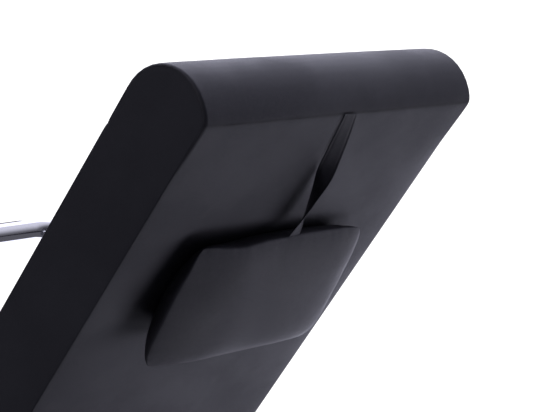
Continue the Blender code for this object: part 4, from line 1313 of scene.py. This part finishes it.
def make_bolts():
    number = 0
    for end in ("front", "rear"):
        for side in (-1, 1):
            for step in (-1, 1):
                number += 1
                made = bolt_shape()
                x = side * LEG_SPREAD / 2 + step * BOLT_PITCH / 2
                made.transform(frame_at(x, LEG_STATIONS[end], -HALF - PLATE - 2 * GAP))
                finished(f"leg_screw_{number}", made, ZINC, [f"leg_bolt_{number}"], BOLT_SHARP)


def mouth_seat(name):
    """Matrix at the floor of a socket's mouth, with Z into the slab, from the socket's own points."""
    points = points_of(NODES[name].data)
    middle = points.mean(axis=0)
    tries = np.linspace(0.0, LENGTH, STATION_TRIES)
    station = min(tries, key=lambda s: (centre_line(s)[0] - Vector(middle[1:])).length)
    seat = frame_at(middle[0], station, 0.0)
    outer = min((seat.inverted() @ Vector(p)).z for p in points)
    return seat @ Matrix.Translation((0, 0, outer + MOUTH_DEPTH))


def cut_for_socket(name, targets):
    """Opens the underside's cover and padding where a socket passes through them."""
    seat = mouth_seat(name)
    local = [seat.inverted() @ Vector(p) for p in points_of(NODES[name].data)]
    half = [max(abs(p[k]) for p in local) - SOCKET_LIP + GAP for k in (0, 1)]
    made = bmesh.new()
    bmesh.ops.create_cube(made, size=2.0)
    made.transform(seat @ Matrix.Diagonal((*half, 2 * MOUTH_DEPTH, 1.0)))
    mesh = bpy.data.meshes.new("socket_cutter")
    made.to_mesh(mesh)
    made.free()
    cutter = new_object("socket_cutter", mesh)
    for target in (bpy.data.objects[t] for t in targets):
        hole = target.modifiers.new("socket_hole", "BOOLEAN")
        hole.object = cutter
        hole.solver = "EXACT"
        bpy.context.view_layer.update()
        opened = target.evaluated_get(bpy.context.evaluated_depsgraph_get())
        shape = bpy.data.meshes.new_from_object(opened)
        shape.set_sharp_from_angle(angle=math.radians(BLOCK_SHARP))
        target.modifiers.clear()
        target.data = shape
    bpy.data.objects.remove(cutter)


def contact_pins(name, socket, spots, radius, length):
    """Round-tipped pins that stand in a socket's mouth."""
    seat = mouth_seat(socket)
    profile = [(radius, 0.0), (radius, radius - length)]
    profile += [(radius * math.cos(a), radius - length - radius * math.sin(a)) for a in PIN_TIP_TURNS]
    made = bmesh.new()
    for x, y in spots:
        rings = []
        for size, z in profile:
            ring = circle(Vector((x, y, z)), ACROSS, AHEAD, size, PIN_SIDES)
            rings.append([made.verts.new(seat @ p) for p in ring])
        bridge(made, rings)
        made.faces.new(rings[0])
        made.faces.new(rings[-1])
    finished(name, made, ZINC)


def make_sockets():
    for socket in ("power_inlet", "handset_socket"):
        ease_edges(socket, SOCKET_EDGE)
        cut_for_socket(socket, ("underside_upholstery", "underside_padding_block"))
    ease_edges("control_box", BOX_EDGE)
    contact_pins("inlet_pins", "power_inlet", INLET_PINS, **INLET_PIN)
    contact_pins("handset_pins", "handset_socket", HANDSET_PINS, **HANDSET_PIN)


NODE_FINISHES = {
    "rib": PLYWOOD,
    "deck": PLYWOOD,
    "rail": PINE,
    "motor_housing": BLACK_PLASTIC,
    "motor": ZINC,
    "eccentric": ZINC,
    "control_box": BLACK_PLASTIC,
    "control_board": CIRCUIT,
    "power_inlet": BLACK_PLASTIC,
    "handset_socket": BLACK_PLASTIC,
    "motor_wires": WIRE,
    "pad": RUBBER,
}


def finish_nodes():
    """Gives each CAD node that stays its finish, by the last words of its name."""
    for name, obj in NODES.items():
        if obj.hide_render:
            continue
        ending = next(key for key in NODE_FINISHES if name.endswith(key))
        obj.data.materials.clear()
        obj.data.materials.append(NODE_FINISHES[ending])


make_upholstery()
make_foam()
make_pillow()
make_strap()
make_legs()
make_bolts()
make_sockets()
finish_nodes()


# Studio.

CAMERA_PLACE = Vector((-1.90654, 0.7666, 2.26203))
CAMERA_RIGHT = Vector((0.641765, -0.05445, 0.764966))
CAMERA_DOWN = Vector((-0.095257, -0.995411, 0.009063))
CAMERA_LENS = 123.398
SENSOR = 36.0
WHITE = (1.0, 1.0, 1.0)
FLOOR_SPAN = 30.0
FLOOR_PAINT = (0.77, 0.77, 0.79)
# Painted shade: the floor's colour towards -X, in the light it sends on but not to the camera.
FLOOR_SHADE = (0.50, 0.50, 0.51)
FLOOR_SHADE_SPAN = (0.3, -0.9)
FLOOR_WHITE = 1.03
FLOOR_WHITE_SHARE = 0.92
FLOOR_GLOSS_SPAN = (0.2, 0.9)
FLOOR_GLOSS_LEVELS = (0.18, 1.5)
ROOM_BRIGHT_SIDE = (0.75, 0.66, -0.10)
ROOM_SPAN = (0.3, 0.95)
ROOM_LEVELS = (0.11, 0.76)
ROOM_FILL = 0.35
ROOM_TINT = (0.91, 0.91, 1.09)
LAMP_AIM = (0.0, 0.5, 0.65)
KEY_LAMP = {"place_at": (2.05, -1.46, 1.71), "size": (4.0, 1.4), "watts": 165.0}
FILL_LAMP = {"place_at": (-2.2, 2.4, 0.2), "size": (1.6, 1.6), "watts": 13.0}


def make_camera():
    lens = bpy.data.cameras.new("camera")
    lens.lens = CAMERA_LENS
    lens.sensor_width = SENSOR
    camera = new_object("camera", lens)
    right, up = CAMERA_RIGHT.normalized(), -CAMERA_DOWN.normalized()
    turn = Matrix((right, up, right.cross(up))).transposed()
    camera.matrix_world = Matrix.Translation(CAMERA_PLACE) @ turn.to_4x4()
    bpy.context.scene.camera = camera


def softbox(name, place_at, size, watts):
    light = bpy.data.lights.new(name, "AREA")
    light.shape = "RECTANGLE"
    light.size, light.size_y = size
    light.energy = watts
    lamp = new_object(name, light)
    lamp.location = place_at
    lamp.rotation_euler = (Vector(LAMP_AIM) - Vector(place_at)).to_track_quat("-Z", "Y").to_euler()
    return lamp


def mirrored(tree, path):
    """One for rays that a gloss or a clear surface sends on."""
    return calculate(tree, "MAXIMUM", path["Is Glossy Ray"], path["Is Transmission Ray"])


def bright_side(tree, direction):
    """How far a direction points to the bright side of the room."""
    turned = node(tree, "VectorMath", {"operation": "DOT_PRODUCT"}, i0=direction, i1=ROOM_BRIGHT_SIDE)
    return turned.outputs["Value"]


def floor_paint():
    """White to the camera, with a painted glow that only reflections see, brighter to one side, and matt
    paint that takes shadows, with painted shade towards -X in the light it sends on.
    """
    material = bpy.data.materials.new("floor_paint")
    material.use_nodes = True
    tree = material.node_tree
    tree.nodes.clear()
    output = tree.nodes.new("ShaderNodeOutputMaterial")
    path = node(tree, "LightPath").outputs
    seen = path["Is Camera Ray"]
    spot = node(tree, "NewGeometry").outputs["Position"]
    # Painted shade: darker towards -X, except to the camera.
    left = mapped(tree, node(tree, "SeparateXYZ", i0=spot).outputs["X"], *FLOOR_SHADE_SPAN)
    shaded = calculate(tree, "MULTIPLY", left, calculate(tree, "SUBTRACT", 1.0, seen))
    paint = node(tree, "BsdfDiffuse", Color=tint(tree, shaded, FLOOR_PAINT, FLOOR_SHADE))
    outward = node(tree, "VectorMath", {"operation": "NORMALIZE"}, i0=spot).outputs["Vector"]
    # Painted glow, seen only in reflections: brighter towards the room's bright side.
    level = mapped(tree, bright_side(tree, outward), *FLOOR_GLOSS_SPAN, *FLOOR_GLOSS_LEVELS)
    strength = calculate(tree, "MAXIMUM", calculate(tree, "MULTIPLY", seen, FLOOR_WHITE), level)
    white = node(tree, "Emission", Color=tint(tree, seen, ROOM_TINT, WHITE), Strength=strength)
    share = calculate(tree, "MULTIPLY", seen, FLOOR_WHITE_SHARE)
    share = calculate(tree, "MAXIMUM", share, mirrored(tree, path))
    mix = node(tree, "MixShader", i0=share, i1=paint.outputs[0], i2=white.outputs[0])
    tree.links.new(mix.outputs[0], output.inputs["Surface"])
    return material


def make_floor():
    mesh = bpy.data.meshes.new("floor")
    corners = [(x * FLOOR_SPAN, y * FLOOR_SPAN, 0) for x, y in ((-1, -1), (1, -1), (1, 1), (-1, 1))]
    mesh.from_pydata(corners, [], [(0, 1, 2, 3)])
    mesh.materials.append(floor_paint())
    floor = new_object("floor", mesh)


def make_room():
    """A world that is white to the camera and dimmer to the couch, with one bright side."""
    world = bpy.data.worlds.new("studio")
    bpy.context.scene.world = world
    world.use_nodes = True
    tree = world.node_tree
    back = tree.nodes["Background"]
    path = node(tree, "LightPath").outputs
    seen = path["Is Camera Ray"]
    around = bright_side(tree, node(tree, "TexCoord").outputs["Generated"])
    room = mapped(tree, around, *ROOM_SPAN, *ROOM_LEVELS)
    unseen = calculate(tree, "MULTIPLY", room, mapped(tree, mirrored(tree, path), 0.0, 1.0, ROOM_FILL, 1.0))
    tree.links.new(calculate(tree, "MAXIMUM", seen, unseen), back.inputs["Strength"])
    tree.links.new(tint(tree, seen, ROOM_TINT, WHITE), back.inputs["Color"])


def make_lamps():
    """A wide key lamp that stays out of reflections, and a weak fill lamp behind the couch."""
    key = softbox("key", **KEY_LAMP)
    key.visible_glossy = False
    softbox("fill", **FILL_LAMP)


make_camera()
make_floor()
make_room()
make_lamps()
bpy.context.scene.view_settings.view_transform = "Standard"
